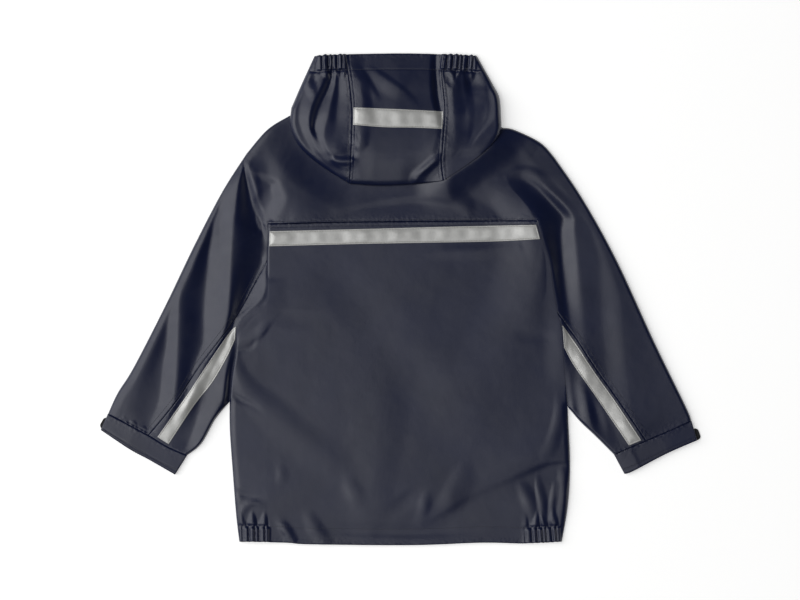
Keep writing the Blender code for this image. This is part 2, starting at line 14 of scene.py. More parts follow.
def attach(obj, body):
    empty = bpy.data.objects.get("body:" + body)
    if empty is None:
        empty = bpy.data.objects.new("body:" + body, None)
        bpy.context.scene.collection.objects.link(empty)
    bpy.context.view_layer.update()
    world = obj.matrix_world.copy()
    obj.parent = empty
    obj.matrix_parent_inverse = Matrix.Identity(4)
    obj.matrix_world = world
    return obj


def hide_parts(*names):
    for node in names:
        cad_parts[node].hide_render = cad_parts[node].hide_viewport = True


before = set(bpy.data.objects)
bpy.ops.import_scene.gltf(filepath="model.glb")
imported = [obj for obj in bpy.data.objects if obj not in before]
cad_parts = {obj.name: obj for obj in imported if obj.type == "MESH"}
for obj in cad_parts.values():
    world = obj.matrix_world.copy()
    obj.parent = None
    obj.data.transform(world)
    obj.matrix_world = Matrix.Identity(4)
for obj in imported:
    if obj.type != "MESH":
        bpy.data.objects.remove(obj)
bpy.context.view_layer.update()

# Camera
# The photograph looks straight down on the coat through a long lens. Its 800 pixels span one metre.
CAMERA_HEIGHT = 4.0
FRAME_WIDTH = 1.0
SENSOR_WIDTH = 36.0


def add_object(name, data):
    """Object at the origin with its data, put in the scene."""
    made = bpy.data.objects.new(name, data)
    bpy.context.collection.objects.link(made)
    return made


camera_data = bpy.data.cameras.new("photo_camera")
camera_data.sensor_fit = "HORIZONTAL"
camera_data.sensor_width = SENSOR_WIDTH
camera_data.lens = SENSOR_WIDTH * CAMERA_HEIGHT / FRAME_WIDTH
camera_data.clip_end = 50.0
camera = add_object("photo_camera", camera_data)
camera.location = (-0.0002, -0.0009, CAMERA_HEIGHT)
bpy.context.scene.camera = camera

# Floor and light
# The coat lies on a plain white light table, lit weakly from below as for cut-out pictures. A large soft
# box stands on the left, a dimmer one hangs overhead and a small one stands low on the right.
bpy.context.scene.view_settings.view_transform = "Standard"


def linear(colour):
    """The linear colour of an sRGB hex value."""
    shares = [int(colour[k:k + 2], 16) / 255.0 for k in (1, 3, 5)]
    return tuple(s / 12.92 if s <= 0.04045 else ((s + 0.055) / 1.055) ** 2.4 for s in shares) + (1.0,)


def start_material(name, values):
    """Material with values set on its shader's own sockets, and its node tree and shader."""
    made = bpy.data.materials.new(name)
    made.use_nodes = True
    shader = made.node_tree.nodes["Principled BSDF"]
    for socket, value in values.items():
        shader.inputs[socket].default_value = value
    return made, made.node_tree, shader


def soft_box(name, place, size, power, aim=(0.0, 0.0, 0.0)):
    """Soft box of a width and height, with its power in watts, that faces a point."""
    light = bpy.data.lights.new(name, "AREA")
    light.shape = "RECTANGLE"
    light.size, light.size_y = size
    light.energy = power
    lamp = add_object(name, light)
    lamp.location = place
    lamp.rotation_euler = (Vector(aim) - Vector(place)).to_track_quat("-Z", "Y").to_euler()


soft_box("key_soft_box", (-4.0, 0.9, 4.0), (5.0, 7.0), 300.0)
soft_box("ceiling_soft_box", (-1.25, -2.2, 6.8), (4.5, 5.2), 92.0, (-1.25, -2.2, 0.0))
soft_box("fill_soft_box", (5.6, -0.6, 0.7), (1.0, 3.2), 26.0)

room = bpy.data.worlds.new("studio_room")
room.use_nodes = True
walls = room.node_tree.nodes["Background"]
walls.inputs["Color"].default_value = linear("#eef0f4")
walls.inputs["Strength"].default_value = 0.05
bpy.context.scene.world = room

# White enamel paint, matte, with the light table's own glow.
table_paint, _, _ = start_material("white_table_paint", {
    "Base Color": linear("#f6f6f5"), "Roughness": 0.85, "Emission Color": linear("#ffffff"),
    "Emission Strength": 0.42})

# The table's top lies a hair under the coat, so that the two faces don't flicker.
TABLE_SIZE = 8.0
TABLE_DROP = 0.0004
bm = bmesh.new()
bmesh.ops.create_grid(bm, x_segments=2, y_segments=2, size=TABLE_SIZE)
bmesh.ops.translate(bm, verts=bm.verts, vec=(0.0, 0.0, -TABLE_DROP))
table_mesh = bpy.data.meshes.new("studio_table")
bm.to_mesh(table_mesh)
bm.free()
table_mesh.materials.append(table_paint)
table = add_object("studio_table", table_mesh)

# Lower back
# One wide panel of knitted polyester with a polyurethane coat, cut with a straight yoke seam. Its sides
# fold round to the front, and elastic in the hem's casing gathers both ends.
CLOTH_WALL = 0.9
# Heights of the outer face: at the very rim, just inside it where the layers meet, and the loft over that.
FLOOR_EDGE = 0.75
REST = 3.1
BODY_LOFT = 3.6
# The gap under a layer that lies on another, the depth of a casing, and the row of stitches under the yoke.
LAYER_GAP = 0.25
CASING = 20.0
BACK_ROW = 4.5
# How far the thread's pull shows beside a seam.
PULL_REACH = 5.0
# Metres in a millimetre.
MM = 0.001


def smooth_line(points, step=3.0):
    """Smooth line through points, with even steps. Values after x and y are smoothed with them."""
    p = np.array(points, dtype=float)
    p = np.vstack([p[:1], p, p[-1:]])
    t = np.linspace(0.0, 1.0, 16, endpoint=False)[:, None]
    runs = []
    for a, b, c, d in zip(p, p[1:], p[2:], p[3:]):
        bend = (2.0 * a - 5.0 * b + 4.0 * c - d) * t ** 2
        runs.append(0.5 * (2.0 * b + (c - a) * t + bend + (3.0 * b - a - 3.0 * c + d) * t ** 3))
    fine = np.vstack(runs + [p[-1:]])
    count = max(2, int(round(line_length(fine) / step)))
    return places(fine, np.linspace(0.0, 1.0, count + 1))


def line_length(line):
    """Length of a line of points."""
    return float(np.hypot(np.diff(line[:, 0]), np.diff(line[:, 1])).sum())


def places(line, shares):
    """Points at the given shares of a line's length."""
    travelled = np.concatenate([[0.0], np.cumsum(np.hypot(np.diff(line[:, 0]), np.diff(line[:, 1])))])
    return np.stack([np.interp(shares * travelled[-1], travelled, values) for values in line.T], axis=1)


def join(*lines):
    """One line from several that follow each other."""
    return np.vstack([lines[0]] + [line[1:] for line in lines[1:]])


def graded(length, coarse, zones):
    """Shares from 0 to 1. Steps are fine in each zone (from, to, step) and grow away from it."""
    spots = [0.0]
    while spots[-1] < length:
        here = spots[-1]
        steps = [fine + 0.3 * max(low - here, here - high, 0.0) for low, high, fine in zones]
        spots.append(here + min(steps + [coarse]))
    return np.array(spots) / spots[-1]


def near_line(x, y, line):
    """Distance to a line, 1 on its left-hand side and -1 on its right, and the place along it."""
    gap = np.full(x.shape, 1e9)
    side = np.ones(x.shape)
    spot = np.zeros(x.shape)
    for k, (a, b) in enumerate(zip(line[:-1, :2], line[1:, :2])):
        d = b - a
        t = np.clip(((x - a[0]) * d[0] + (y - a[1]) * d[1]) / max(d @ d, 1e-9), 0.0, 1.0)
        off_x = x - a[0] - d[0] * t
        off_y = y - a[1] - d[1] * t
        here = np.hypot(off_x, off_y)
        near = here < gap
        gap = np.where(near, here, gap)
        side = np.where(near, np.where(d[0] * off_y - d[1] * off_x >= 0.0, 1.0, -1.0), side)
        spot = np.where(near, k + t, spot)
    return gap, side, spot


def nearest(x, y, lines):
    """Distance to the nearest of several lines."""
    return np.min([near_line(x, y, line)[0] for line in lines], axis=0)


def smooth_step(value):
    """Rise from 0 to 1 with level ends."""
    t = np.clip(value, 0.0, 1.0)
    return t * t * (3.0 - 2.0 * t)


def round_up(value):
    """Rise from 0 to 1 along a quarter circle, steep at first."""
    t = np.clip(value, 0.0, 1.0)
    return np.sqrt(1.0 - (1.0 - t) ** 2)


def fold(x, y, stations):
    """Ridge or trough through stations: x, y, width on the left hand, width on the right, height."""
    line = smooth_line(stations, step=4.0)
    reach = line[:, 2:4].max()
    low = line[:, :2].min(axis=0) - reach
    high = line[:, :2].max(axis=0) + reach
    close = (x > low[0]) & (x < high[0]) & (y > low[1]) & (y < high[1])
    rise = np.zeros(x.shape)
    gap, side, spot = near_line(x[close], y[close], line)
    steps = np.arange(len(line))
    width = np.where(side > 0.0, np.interp(spot, steps, line[:, 2]), np.interp(spot, steps, line[:, 3]))
    # The crest is rounded, over 2.5 mm at most.
    crest = np.minimum(0.18 * width, 2.5)
    t = np.clip(1.0 - (np.hypot(gap, crest) - crest) / width, 0.0, 1.0)
    rise[close] = (0.4 * t + 0.6 * smooth_step(t)) * np.interp(spot, steps, line[:, 4])
    return rise


def folds(x, y, several):
    """Sum of several folds."""
    return sum(fold(x, y, stations) for stations in several)


def gathers(x, y, edge, stretches, height, casing=CASING):
    """Elastic casing along an edge: pleats in it, wider ones beyond.

    A stretch is where it starts and ends, in shares of the edge's length, its pleats and how far they reach.
    """
    gap, _, spot = near_line(x, y, edge)
    inside = 1.0 - smooth_step((gap - casing + 3.0) / 5.0)
    pinch = 0.5 * np.exp(-((gap - casing) / 1.6) ** 2)
    total = np.zeros(x.shape)
    for first, last, pleats, length in stretches:
        share = (spot / (len(edge) - 1) - first) / (last - first)
        # Elastic draws the pleats up unevenly. Beyond the casing every second one runs on and fades out.
        uneven = share + 0.022 * np.sin(9.1 * share + 1.0) + 0.012 * np.sin(23.0 * share)
        fine = np.abs(np.sin(math.pi * pleats * (uneven + 0.0006 * gap))) ** 0.7
        wide = np.abs(np.sin(0.5 * math.pi * pleats * (uneven + 0.0012 * gap) + 0.5)) ** 0.8
        reach = length * (0.7 + 0.3 * np.sin(17.0 * share + 0.6))
        fade = 1.0 - smooth_step((gap - casing - 0.15 * reach) / reach)
        size = height * (0.8 + 0.2 * np.sin(14.0 * share + 2.0))
        ends = smooth_step(6.0 * share) * smooth_step(6.0 * (1.0 - share))
        total += size * ends * (fine * inside + (0.8 * wide - 0.1) * (1.0 - inside) * fade - pinch)
    return total


def groove(gap, depth, width):
    """Trough of a depth around a distance of nothing, which fades over a width."""
    return -depth * np.exp(-(gap / width) ** 2)


def seam_dip(gap, row=None):
    """Groove of a seam, and the shallow groove of a row of stitches beside it."""
    dip = groove(gap, 0.55, 0.7)
    if row is not None:
        dip += groove(gap - row, 0.18, 0.7)
    return dip


def lay_panel(bottom, top, left, right, across, along):
    """Grid stretched between four edges, as x and y of each point in rows from the bottom."""
    b = places(bottom[:, :2], across)[None, :, :]
    t = places(top[:, :2], across)[None, :, :]
    l = places(left[:, :2], along)[:, None, :]
    r = places(right[:, :2], along)[:, None, :]
    s = across[None, :, None]
    v = along[:, None, None]
    sides = (1.0 - v) * b + v * t + (1.0 - s) * l + s * r
    corners = (1.0 - v) * ((1.0 - s) * b[:, :1] + s * b[:, -1:]) + v * ((1.0 - s) * t[:, :1] + s * t[:, -1:])
    return sides - corners


def raised(flat, height):
    """Grid of x and y with the height at each of its points."""
    return np.dstack([flat, height(flat[..., 0], flat[..., 1])])


def grid_mesh(points, face_down=False):
    """Bmesh of a grid through rows of points (x, y, z) in millimetres."""
    rows, columns = points.shape[:2]
    bm = bmesh.new()
    bmesh.ops.create_grid(bm, x_segments=columns - 1, y_segments=rows - 1, size=1.0)
    bm.verts.ensure_lookup_table()
    for vert, place in zip(bm.verts, points.reshape(-1, 3) * MM):
        vert.co = place
    if face_down:
        bmesh.ops.reverse_faces(bm, faces=bm.faces)
    return bm


def make_cloth(name, grids, materials, seams=(), wall=CLOTH_WALL, face_down=False):
    """Piece of cloth from one or more grids that meet, with a wall and its distance to the seams."""
    whole = bmesh.new()
    for grid in grids:
        part = grid_mesh(grid, face_down)
        loose = bpy.data.meshes.new(name)
        part.to_mesh(loose)
        part.free()
        whole.from_mesh(loose)
        bpy.data.meshes.remove(loose)
    bmesh.ops.remove_doubles(whole, verts=whole.verts, dist=0.00003)
    mesh = bpy.data.meshes.new(name)
    whole.to_mesh(mesh)
    whole.free()
    mesh.shade_smooth()
    spots = np.empty(3 * len(mesh.vertices))
    mesh.vertices.foreach_get("co", spots)
    spots = spots.reshape(-1, 3) / MM
    pull = np.zeros(len(spots))
    if seams:
        pull = np.exp(-nearest(spots[:, 0], spots[:, 1], seams) / PULL_REACH)
    mesh.attributes.new("seam_pull", "FLOAT", "POINT").data.foreach_set("value", pull.astype(np.float32))
    for material in materials:
        mesh.materials.append(material)
    piece = add_object(name, mesh)
    thick = piece.modifiers.new("wall", "SOLIDIFY")
    thick.thickness = MM * wall
    thick.offset = -1.0
    thick.material_offset = len(materials) - 1
    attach(piece, "root")
    return piece


def add_node(tree, kind, settings, sockets):
    """Add a node with its settings, and give each named socket a value or a link."""
    made = tree.nodes.new("ShaderNode" + kind)
    for name, value in settings.items():
        setattr(made, name, value)
    for name, value in sockets.items():
        if isinstance(value, bpy.types.NodeSocket):
            tree.links.new(value, made.inputs[name])
        else:
            made.inputs[name].default_value = value
    return made


def pattern(tree, kind, output, sockets):
    """Texture on the object's own coordinates. Gives its named output."""
    spot = tree.nodes.get("Texture Coordinate") or add_node(tree, "TexCoord", {}, {})
    return add_node(tree, kind, {}, {"Vector": spot.outputs["Object"], **sockets}).outputs[output]


def combine(tree, operation, first, second):
    """Sum or product of two values."""
    return add_node(tree, "Math", {"operation": operation}, {0: first, 1: second}).outputs["Value"]


def set_tone(tree, shader, share, dark, pale):
    """Colour that a pattern blends from one sRGB hex value to another."""
    tone = add_node(tree, "Mix", {"data_type": "RGBA"}, {0: share, 6: linear(dark), 7: linear(pale)})
    tree.links.new(tone.outputs[2], shader.inputs["Base Color"])


def emboss(tree, shader, *reliefs):
    """Relief from the sum of patterns, each with its depth in metres."""
    heights = [combine(tree, "MULTIPLY", share, depth) for share, depth in reliefs]
    total = heights[0]
    for height in heights[1:]:
        total = combine(tree, "ADD", total, height)
    bump = add_node(tree, "Bump", {}, {"Height": total, "Strength": 1.0, "Distance": 1.0})
    tree.links.new(bump.outputs["Normal"], shader.inputs["Normal"])


# Polyurethane-coated polyester, smooth and calendered: dark navy, half gloss, with a very fine grain.
coated_cloth, tree, shader = start_material("polyurethane_coated_polyester", {"IOR": 1.5})
# Tone drifts over a hand's width, as the coat's thickness does.
drift = pattern(tree, "TexNoise", "Fac", {"Scale": 14.0, "Detail": 3.0, "Roughness": 0.5})
set_tone(tree, shader, drift, "#09112b", "#0d1739")
# Handling leaves the gloss a little uneven, over about 15 mm.
rub = pattern(tree, "TexNoise", "Fac", {"Scale": 70.0, "Detail": 4.0, "Roughness": 0.6})
gloss = add_node(tree, "MapRange", {}, {
    "Value": rub, "From Min": 0.3, "From Max": 0.7, "To Min": 0.31, "To Max": 0.38})
tree.links.new(gloss.outputs["Result"], shader.inputs["Roughness"])
# Embossed grain about 1 mm wide, coarser than the real one so that it shows.
grain = pattern(tree, "TexNoise", "Fac", {"Scale": 1000.0, "Detail": 2.0, "Roughness": 0.5})
# Soft dents left from packing, 25 mm wide and a few tenths of a millimetre deep.
dents = pattern(tree, "TexNoise", "Fac", {"Scale": 40.0, "Detail": 2.0, "Roughness": 0.4})
# Puckers 4 mm wide, which the thread pulls in beside a seam.
pucker = pattern(tree, "TexNoise", "Fac", {"Scale": 240.0, "Detail": 1.0, "Roughness": 0.4})
pull = add_node(tree, "Attribute", {"attribute_name": "seam_pull"}, {})
pulled = combine(tree, "MULTIPLY", pucker, pull.outputs["Fac"])
emboss(tree, shader, (grain, 0.00003), (dents, 0.0004), (pulled, 0.0007))

# Knitted polyester backing, the cloth's inner face: matte grey-blue, with wales about 1 mm apart.
knit_backing, tree, shader = start_material(
    "knitted_polyester_backing", {"Roughness": 0.92, "Sheen Weight": 0.25})
wales = pattern(
    tree, "TexWave", "Fac", {"Scale": 160.0, "Distortion": 2.0, "Detail": 2.0, "Detail Scale": 3.0})
set_tone(tree, shader, wales, "#1a1c24", "#2b2e39")
emboss(tree, shader, (wales, 0.0002))

# The cloth as it comes off the roll: its coat outside, its backing inside.
CLOTH = [coated_cloth, knit_backing]

yoke_seam = smooth_line([(-165, 94), (-88, 96), (0, 97), (170, 98)])
hem = smooth_line([
    (-201, -303), (-141, -304), (-113, -306), (15, -307), (101, -304), (158, -305), (202, -303)])
left_side_low = smooth_line([(-201, -303), (-205, -270), (-209, -220), (-213, -163), (-213, -128)])
left_side_mid = smooth_line([
    (-213, -128), (-210, -93), (-205, -67), (-201, -32), (-186, -16), (-166, -3), (-166, 48)])
left_side_top = smooth_line([(-166, 48), (-166, 62), (-165, 77), (-165, 94)])
right_side_low = smooth_line([(202, -303), (209, -263), (212, -226), (212, -188), (209, -134)])
right_side_mid = smooth_line([(209, -134), (206, -101), (203, -66), (201, -38), (196, -16)])
right_side_top = smooth_line([(196, -16), (191, 12), (186, 48), (177, 74), (170, 98)])
left_body_edge = join(left_side_mid, left_side_top)
right_body_edge = join(right_side_mid, right_side_top)
HEM_STRETCHES = [(-0.005, 0.1, 6, 18.0), (0.875, 1.005, 8, 22.0)]
# Shares of each edge's length from the armpit up, with the height there of the sleeve that it lies on.
LEFT_EDGE_LEVELS = (
    (0.0, 0.15, 0.26, 0.4, 0.49, 0.59, 0.7, 0.8, 0.88, 1.0),
    (2.3, 3.4, 4.8, 6.8, 7.6, 8.0, 7.4, 4.6, 3.0, 5.4))
RIGHT_EDGE_LEVELS = ((0.0, 0.3, 0.5, 0.62, 0.78, 0.89, 1.0), (5.0, 8.0, 8.7, 9.2, 10.5, 11.3, 11.6))

# Folds of the lower back, lines from the bottom up or from left to right, as the photograph shows them.
LOWER_BACK_FOLDS = [
    [(-40, -300, 24, 18, 0.2), (-34, -241, 40, 26, 0.9), (-26, -160, 46, 34, 1.1), (-20, -90, 50, 40, 0.6),
     (-14, -30, 40, 40, 0.0)],
    [(-209, -66, 8, 3, 0.3), (-203, -92, 12, 7, 1.0), (-190, -116, 18, 14, 1.2), (-157, -144, 20, 24, 1.0),
     (-128, -170, 22, 26, 0.9), (-82, -207, 24, 26, 0.7), (-50, -240, 18, 16, 0.1)],
    [(-213, -116, 3, 5, -0.5), (-197, -125, 3, 6, -0.9), (-184, -132, 4, 6, -0.6), (-170, -142, 3, 5, -0.1)],
    [(-152, -230, 3, 8, 0.1), (-150, -218, 4, 11, 0.6), (-151, -206, 3, 8, 0.1)],
    [(-50, -262, 9, 12, 0.2), (-58, -244, 10, 14, 1.0), (-69, -220, 8, 10, 0.1)],
    [(-96, -303, 9, 12, 0.9), (-108, -284, 10, 12, 1.3), (-118, -266, 6, 8, 0.1)],
    [(-136, -303, 7, 9, 0.8), (-144, -288, 7, 9, 1.1), (-154, -276, 5, 6, 0.1)],
    [(-150, -272, 5, 8, 0.1), (-143, -286, 6, 9, 0.6), (-134, -300, 5, 8, 0.5)],
    [(52, -266, 12, 14, 0.2), (62, -248, 13, 20, 1.1), (74, -222, 12, 20, 0.8), (84, -202, 8, 10, 0.1)],
    [(34, -284, 8, 14, -0.2), (62, -270, 9, 18, -0.9), (90, -254, 10, 26, -0.7), (126, -238, 10, 34, -0.9),
     (160, -222, 9, 38, -1.9), (186, -211, 8, 34, -2.2), (212, -207, 6, 30, -1.5)],
    [(166, -272, 5, 9, 0.3), (160, -254, 8, 12, 1.3), (152, -236, 6, 10, 0.7), (148, -228, 3, 6, 0.1)],
    [(178, -276, 4, 5, 0.5), (176, -256, 5, 8, 1.2), (172, -236, 4, 8, 0.7), (170, -222, 2, 5, 0.1)],
    [(188, -276, 4, 4, 0.4), (190, -254, 5, 6, 0.9), (193, -232, 4, 6, 0.4)],
    [(110, -214, 20, 12, 0.3), (146, -200, 22, 14, 0.7), (180, -188, 18, 12, 0.6), (202, -180, 10, 10, 0.2)],
    [(26, -274, 7, 8, 0.2), (30, -256, 8, 9, 0.9), (34, -240, 6, 8, 0.1)],
    [(-10, -266, 10, 12, -0.2), (8, -250, 10, 12, -0.8), (30, -236, 8, 10, -0.1)],
    [(180, -192, 7, 10, 0.2), (190, -174, 8, 10, 0.8), (197, -146, 7, 9, 0.8), (198, -118, 6, 7, 0.1)],
    [(201, -278, 9, 6, 1.0), (205, -246, 10, 6, 1.4), (204, -216, 8, 6, 0.6)],
    [(-96, -287, 10, 8, -0.2), (-40, -290, 12, 8, -0.8), (30, -291, 12, 8, -0.9), (94, -287, 10, 8, -0.2)],
    [(70, -104, 20, 26, 0.1), (104, -84, 40, 50, 1.0), (146, -44, 52, 60, 1.9), (166, 8, 54, 44, 3.2),
     (176, 55, 54, 24, 4.2), (170, 98, 60, 18, 4.8), (160, 130, 60, 16, 4.8)],
    [(40, 58, 8, 9, 0.2), (70, 60, 9, 10, 0.8), (110, 61, 9, 9, 0.8), (146, 65, 6, 7, 0.3)],
    [(140, -42, 10, 12, -0.1), (156, -44, 10, 12, -0.5), (180, -46, 9, 10, -0.5), (196, -46, 6, 8, -0.1)],
    [(-164, -8, 3, 3, -0.1), (-172, -14, 3, 3, -0.4), (-186, -24, 3, 3, -0.6), (-202, -42, 3, 3, -0.3)],
    [(-204, -54, 4, 4, 0.1), (-196, -51, 9, 5, 0.4), (-178, -46, 11, 5, 1.0), (-170, -38, 10, 5, 1.1),
     (-162, -28, 6, 5, 0.1)],
    [(-209, -64, 3, 5, -0.9), (-194, -62, 3, 5, -1.0), (-185, -58, 3, 4, -0.8), (-181, -52, 3, 4, -0.2)],
    [(-154, -18, 10, 12, -0.1), (-146, -22, 10, 14, -0.5), (-120, -24, 10, 16, -0.5),
     (-96, -22, 8, 10, -0.1)],
    [(-204, -284, 4, 6, 0.2), (-196, -262, 5, 6, 0.8), (-184, -254, 5, 5, 1.0), (-170, -258, 4, 5, 0.2)],
    [(-206, -240, 5, 5, -0.5), (-196, -243, 5, 6, -0.9), (-182, -246, 5, 6, -0.5), (-170, -246, 4, 5, -0.1)],
    [(-150, -10, 60, 40, 0.2), (-30, -32, 60, 50, 0.8), (50, -90, 50, 60, 0.9), (100, -160, 40, 50, 0.3)],
    [(-110, 60, 30, 30, 0.1), (-60, 0, 40, 30, -0.7), (-10, -70, 44, 36, -0.8), (50, -150, 40, 40, -0.2)],
]


def rim_height(free):
    """Height of the outer face near the coat's own rim, where the cloth turns under to the front."""
    return FLOOR_EDGE + (REST - FLOOR_EDGE) * round_up(free / 2.2)


def under_level(x, y):
    """Distance to the body's free side edges, and the height there of the sleeve that they lie on."""
    gap = np.full(x.shape, 1e9)
    level = np.zeros(x.shape)
    for edge, levels in ((left_body_edge, LEFT_EDGE_LEVELS), (right_body_edge, RIGHT_EDGE_LEVELS)):
        here, _, spot = near_line(x, y, edge)
        at = np.interp(spot / (len(edge) - 1), *levels)
        level = np.where(here < gap, at, level)
        gap = np.minimum(here, gap)
    return gap, level


def lower_back_height(x, y):
    """Outer face of the lower back."""
    free_left = near_line(x, y, left_side_low)[0]
    free_right = near_line(x, y, right_side_low)[0]
    free = np.minimum(free_left, free_right)
    over, level = under_level(x, y)
    from_hem = near_line(x, y, hem)[0]
    # The loft grows over the first 70 mm from the hem.
    loft = BODY_LOFT * (0.35 + 0.65 * smooth_step(from_hem / 70.0))
    swell = 0.22 * np.sin(0.034 * x + 0.021 * y + 0.4) + 0.18 * np.sin(0.027 * y - 0.041 * x + 2.0)
    rise = np.maximum(loft + folds(x, y, LOWER_BACK_FOLDS) + swell, 0.0)
    rise *= 0.88 * round_up(free_left / 9.0) + 0.12 * round_up(free_left / 46.0)
    rise *= round_up(free_right / 8.0)
    pleats = gathers(x, y, hem, HEM_STRETCHES, 3.2)
    casing = groove(from_hem - CASING, 0.15, 0.9)
    z = rim_height(free) + rise + pleats * round_up(free / 6.0)
    # The free side edges lie on the sleeves, so what stands proud of them rounds up and the rest sinks away.
    lip = level + LAYER_GAP
    proud = np.maximum(z - lip, 0.0) * round_up(over / 3.0)
    sunk = np.minimum(z - lip, 0.0) * smooth_step(over / 26.0)
    return lip + proud + sunk + casing + seam_dip(near_line(x, y, yoke_seam)[0], BACK_ROW)


body_across = graded(
    406.0, 2.9, [(0.0, 0.5, 0.25), (2.0, 40.0, 0.8), (358.0, 404.0, 0.8), (405.5, 406.0, 0.25)])
body_along = graded(410.0, 2.9, [(0.0, 24.0, 1.6), (403.0, 410.0, 0.6)])
flat = lay_panel(
    hem, yoke_seam, join(left_side_low, left_body_edge), join(right_side_low, right_body_edge),
    body_across, body_along)
# The pleats pull the hem's rim into shallow scallops.
x, y = flat[..., 0], flat[..., 1]
y += 0.8 * np.exp(-near_line(x, y, hem)[0] / 6.0) * gathers(x, y, hem, HEM_STRETCHES, 1.0)
lower_back = make_cloth("lower_back", [raised(flat, lower_back_height)], CLOTH, [yoke_seam, hem])
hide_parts("back_body")

# Yoke and sleeve backs
# The yoke and the backs of both sleeves are cut in one, so no seam shows at the shoulder. The cloth
# falls into a deep fold at each armhole, where the body's edge lies over the sleeve.
left_shoulder = smooth_line([(-139, 229), (-166, 212), (-192, 182)])
left_sleeve_outer = smooth_line([
    (-192, 182), (-222, 135), (-257, 68), (-293, -7), (-333, -85), (-353, -117), (-365, -143)])
left_cuff_back = smooth_line([(-365, -143), (-340, -156), (-314, -170)])
left_cuff_front = smooth_line([(-314, -170), (-291, -184), (-266, -195)])
left_inner = smooth_line([(-266, -195), (-248, -180), (-231, -150), (-213, -128)])
left_sleeve_seam = smooth_line([
    (-314, -170), (-278, -126), (-250, -83), (-218, -42), (-199, -13), (-166, 48)])
right_shoulder = smooth_line([(127, 214), (142, 212), (175, 196), (193, 177)])
right_sleeve_outer = smooth_line([(193, 177), (229, 124), (271, 48), (318, -54), (357, -134), (364, -152)])
right_cuff_back = smooth_line([(307, -177), (335, -165), (364, -152)])
right_cuff_front = smooth_line([(267, -194), (288, -185), (307, -177)])
right_inner = smooth_line([(267, -194), (244, -171), (225, -153), (209, -134)])
right_sleeve_seam = smooth_line([(307, -177), (275, -130), (244, -86), (219, -48), (196, -16)])
left_neck = smooth_line([(-139, 229), (-78, 245), (-38, 223), (0, 214)])
right_neck = smooth_line([(0, 214), (37, 222), (77, 239), (127, 214)])
neck = join(left_neck, right_neck)
left_armhole = smooth_line([(-165, 94), (-184, 120), (-190, 150), (-192, 182)])
right_rim = join(smooth_line([(170, 98), (154, 123), (139, 135), (132, 149)]),
                 smooth_line([(132, 149), (125, 184), (127, 214)]))
hood_left_high = smooth_line([(-107, 304), (-124, 267), (-136, 239)])
hood_left_low = smooth_line([(-136, 239), (-137, 215), (-126, 190), (-100, 167), (-63, 144)])
hood_bottom = smooth_line([(-63, 144), (-25, 142), (15, 144), (54, 148)])
hood_right_low = smooth_line([(54, 148), (99, 179), (120, 200), (126, 212), (126, 228)])
hood_right_high = smooth_line([(126, 228), (124, 252), (115, 270), (96, 304)])
hood_rim = join(hood_left_high, hood_left_low, hood_bottom, hood_right_low, hood_right_high)

# Rows of a sleeve: y, then the x and the rise of the crests and troughs across it from left to right.
LEFT_SLEEVE_ROWS = [
    (-190, (-360, -330, -312, -304, -298, -272, -258, -250), (3.6, 2.6, 3.6, 3.4, 3.4, 1.8, 3.8, 3.6)),
    (-172, (-352, -322, -304, -296, -290, -262, -246, -240), (4.2, 2.6, 4.0, 3.6, 3.6, 1.4, 4.8, 3.6)),
    (-138, (-342, -306, -286, -277, -270, -252, -228, -222), (5.6, 2.4, 5.6, 4.0, 4.4, 1.4, 5.6, 3.6)),
    (-116, (-336, -300, -281, -267, -259, -245, -216, -210), (6.4, 2.6, 6.8, 3.6, 5.0, 1.6, 5.6, 3.6)),
    (-85, (-323, -297, -278, -258, -246, -232, -212, -200), (6.6, 3.0, 7.6, 2.8, 5.4, 2.4, 4.4, 3.6)),
    (-54, (-309, -292, -277, -247, -226, -216, -204, -195), (6.6, 3.6, 7.8, 1.4, 6.6, 3.0, 3.4, 3.6)),
    (-23, (-293, -289, -276, -246, -215, -204, -193, -180), (5.8, 5.2, 8.2, 1.0, 8.6, 1.6, 4.4, 3.6)),
    (8, (-279, -277, -274, -244, -212, -190, -167, -150), (7.8, 7.8, 8.0, 1.2, 9.8, -0.4, 5.4, 3.6)),
    (36, (-267, -265, -262, -241, -211, -176, -166, -150), (7.8, 7.8, 7.8, 1.8, 10.4, -1.0, 3.0, 3.6)),
    (55, (-259, -257, -255, -239, -210, -168, -164, -150), (7.6, 7.6, 7.6, 2.4, 10.8, -1.0, -1.0, 3.6)),
    (80, (-248, -246, -244, -235, -208, -168, -164, -150), (7.2, 7.2, 7.2, 4.0, 10.6, -1.0, -1.0, 3.6)),
    (102, (-239, -237, -235, -230, -206.5, -180, -168, -150), (6.8, 6.8, 6.8, 5.2, 10.4, -0.8, 3.2, 3.6)),
    (143, (-220, -218, -216, -214, -201.7, -190, -182, -160), (5.6, 5.6, 5.6, 5.4, 8.4, 2.2, 5.0, 3.6)),
    (164, (-208, -206, -204, -202, -197, -194.5, -188, -165), (5.0, 5.0, 5.0, 5.0, 6.2, 4.6, 5.4, 3.6)),
    (182, (-200, -199, -198, -197, -195, -193, -186, -165), (4.2, 4.2, 4.2, 4.2, 4.2, 4.2, 4.2, 3.6)),
    (236, (-160, -159, -158, -157, -156, -155, -154, -153), (3.6, 3.6, 3.6, 3.6, 3.6, 3.6, 3.6, 3.6)),
]
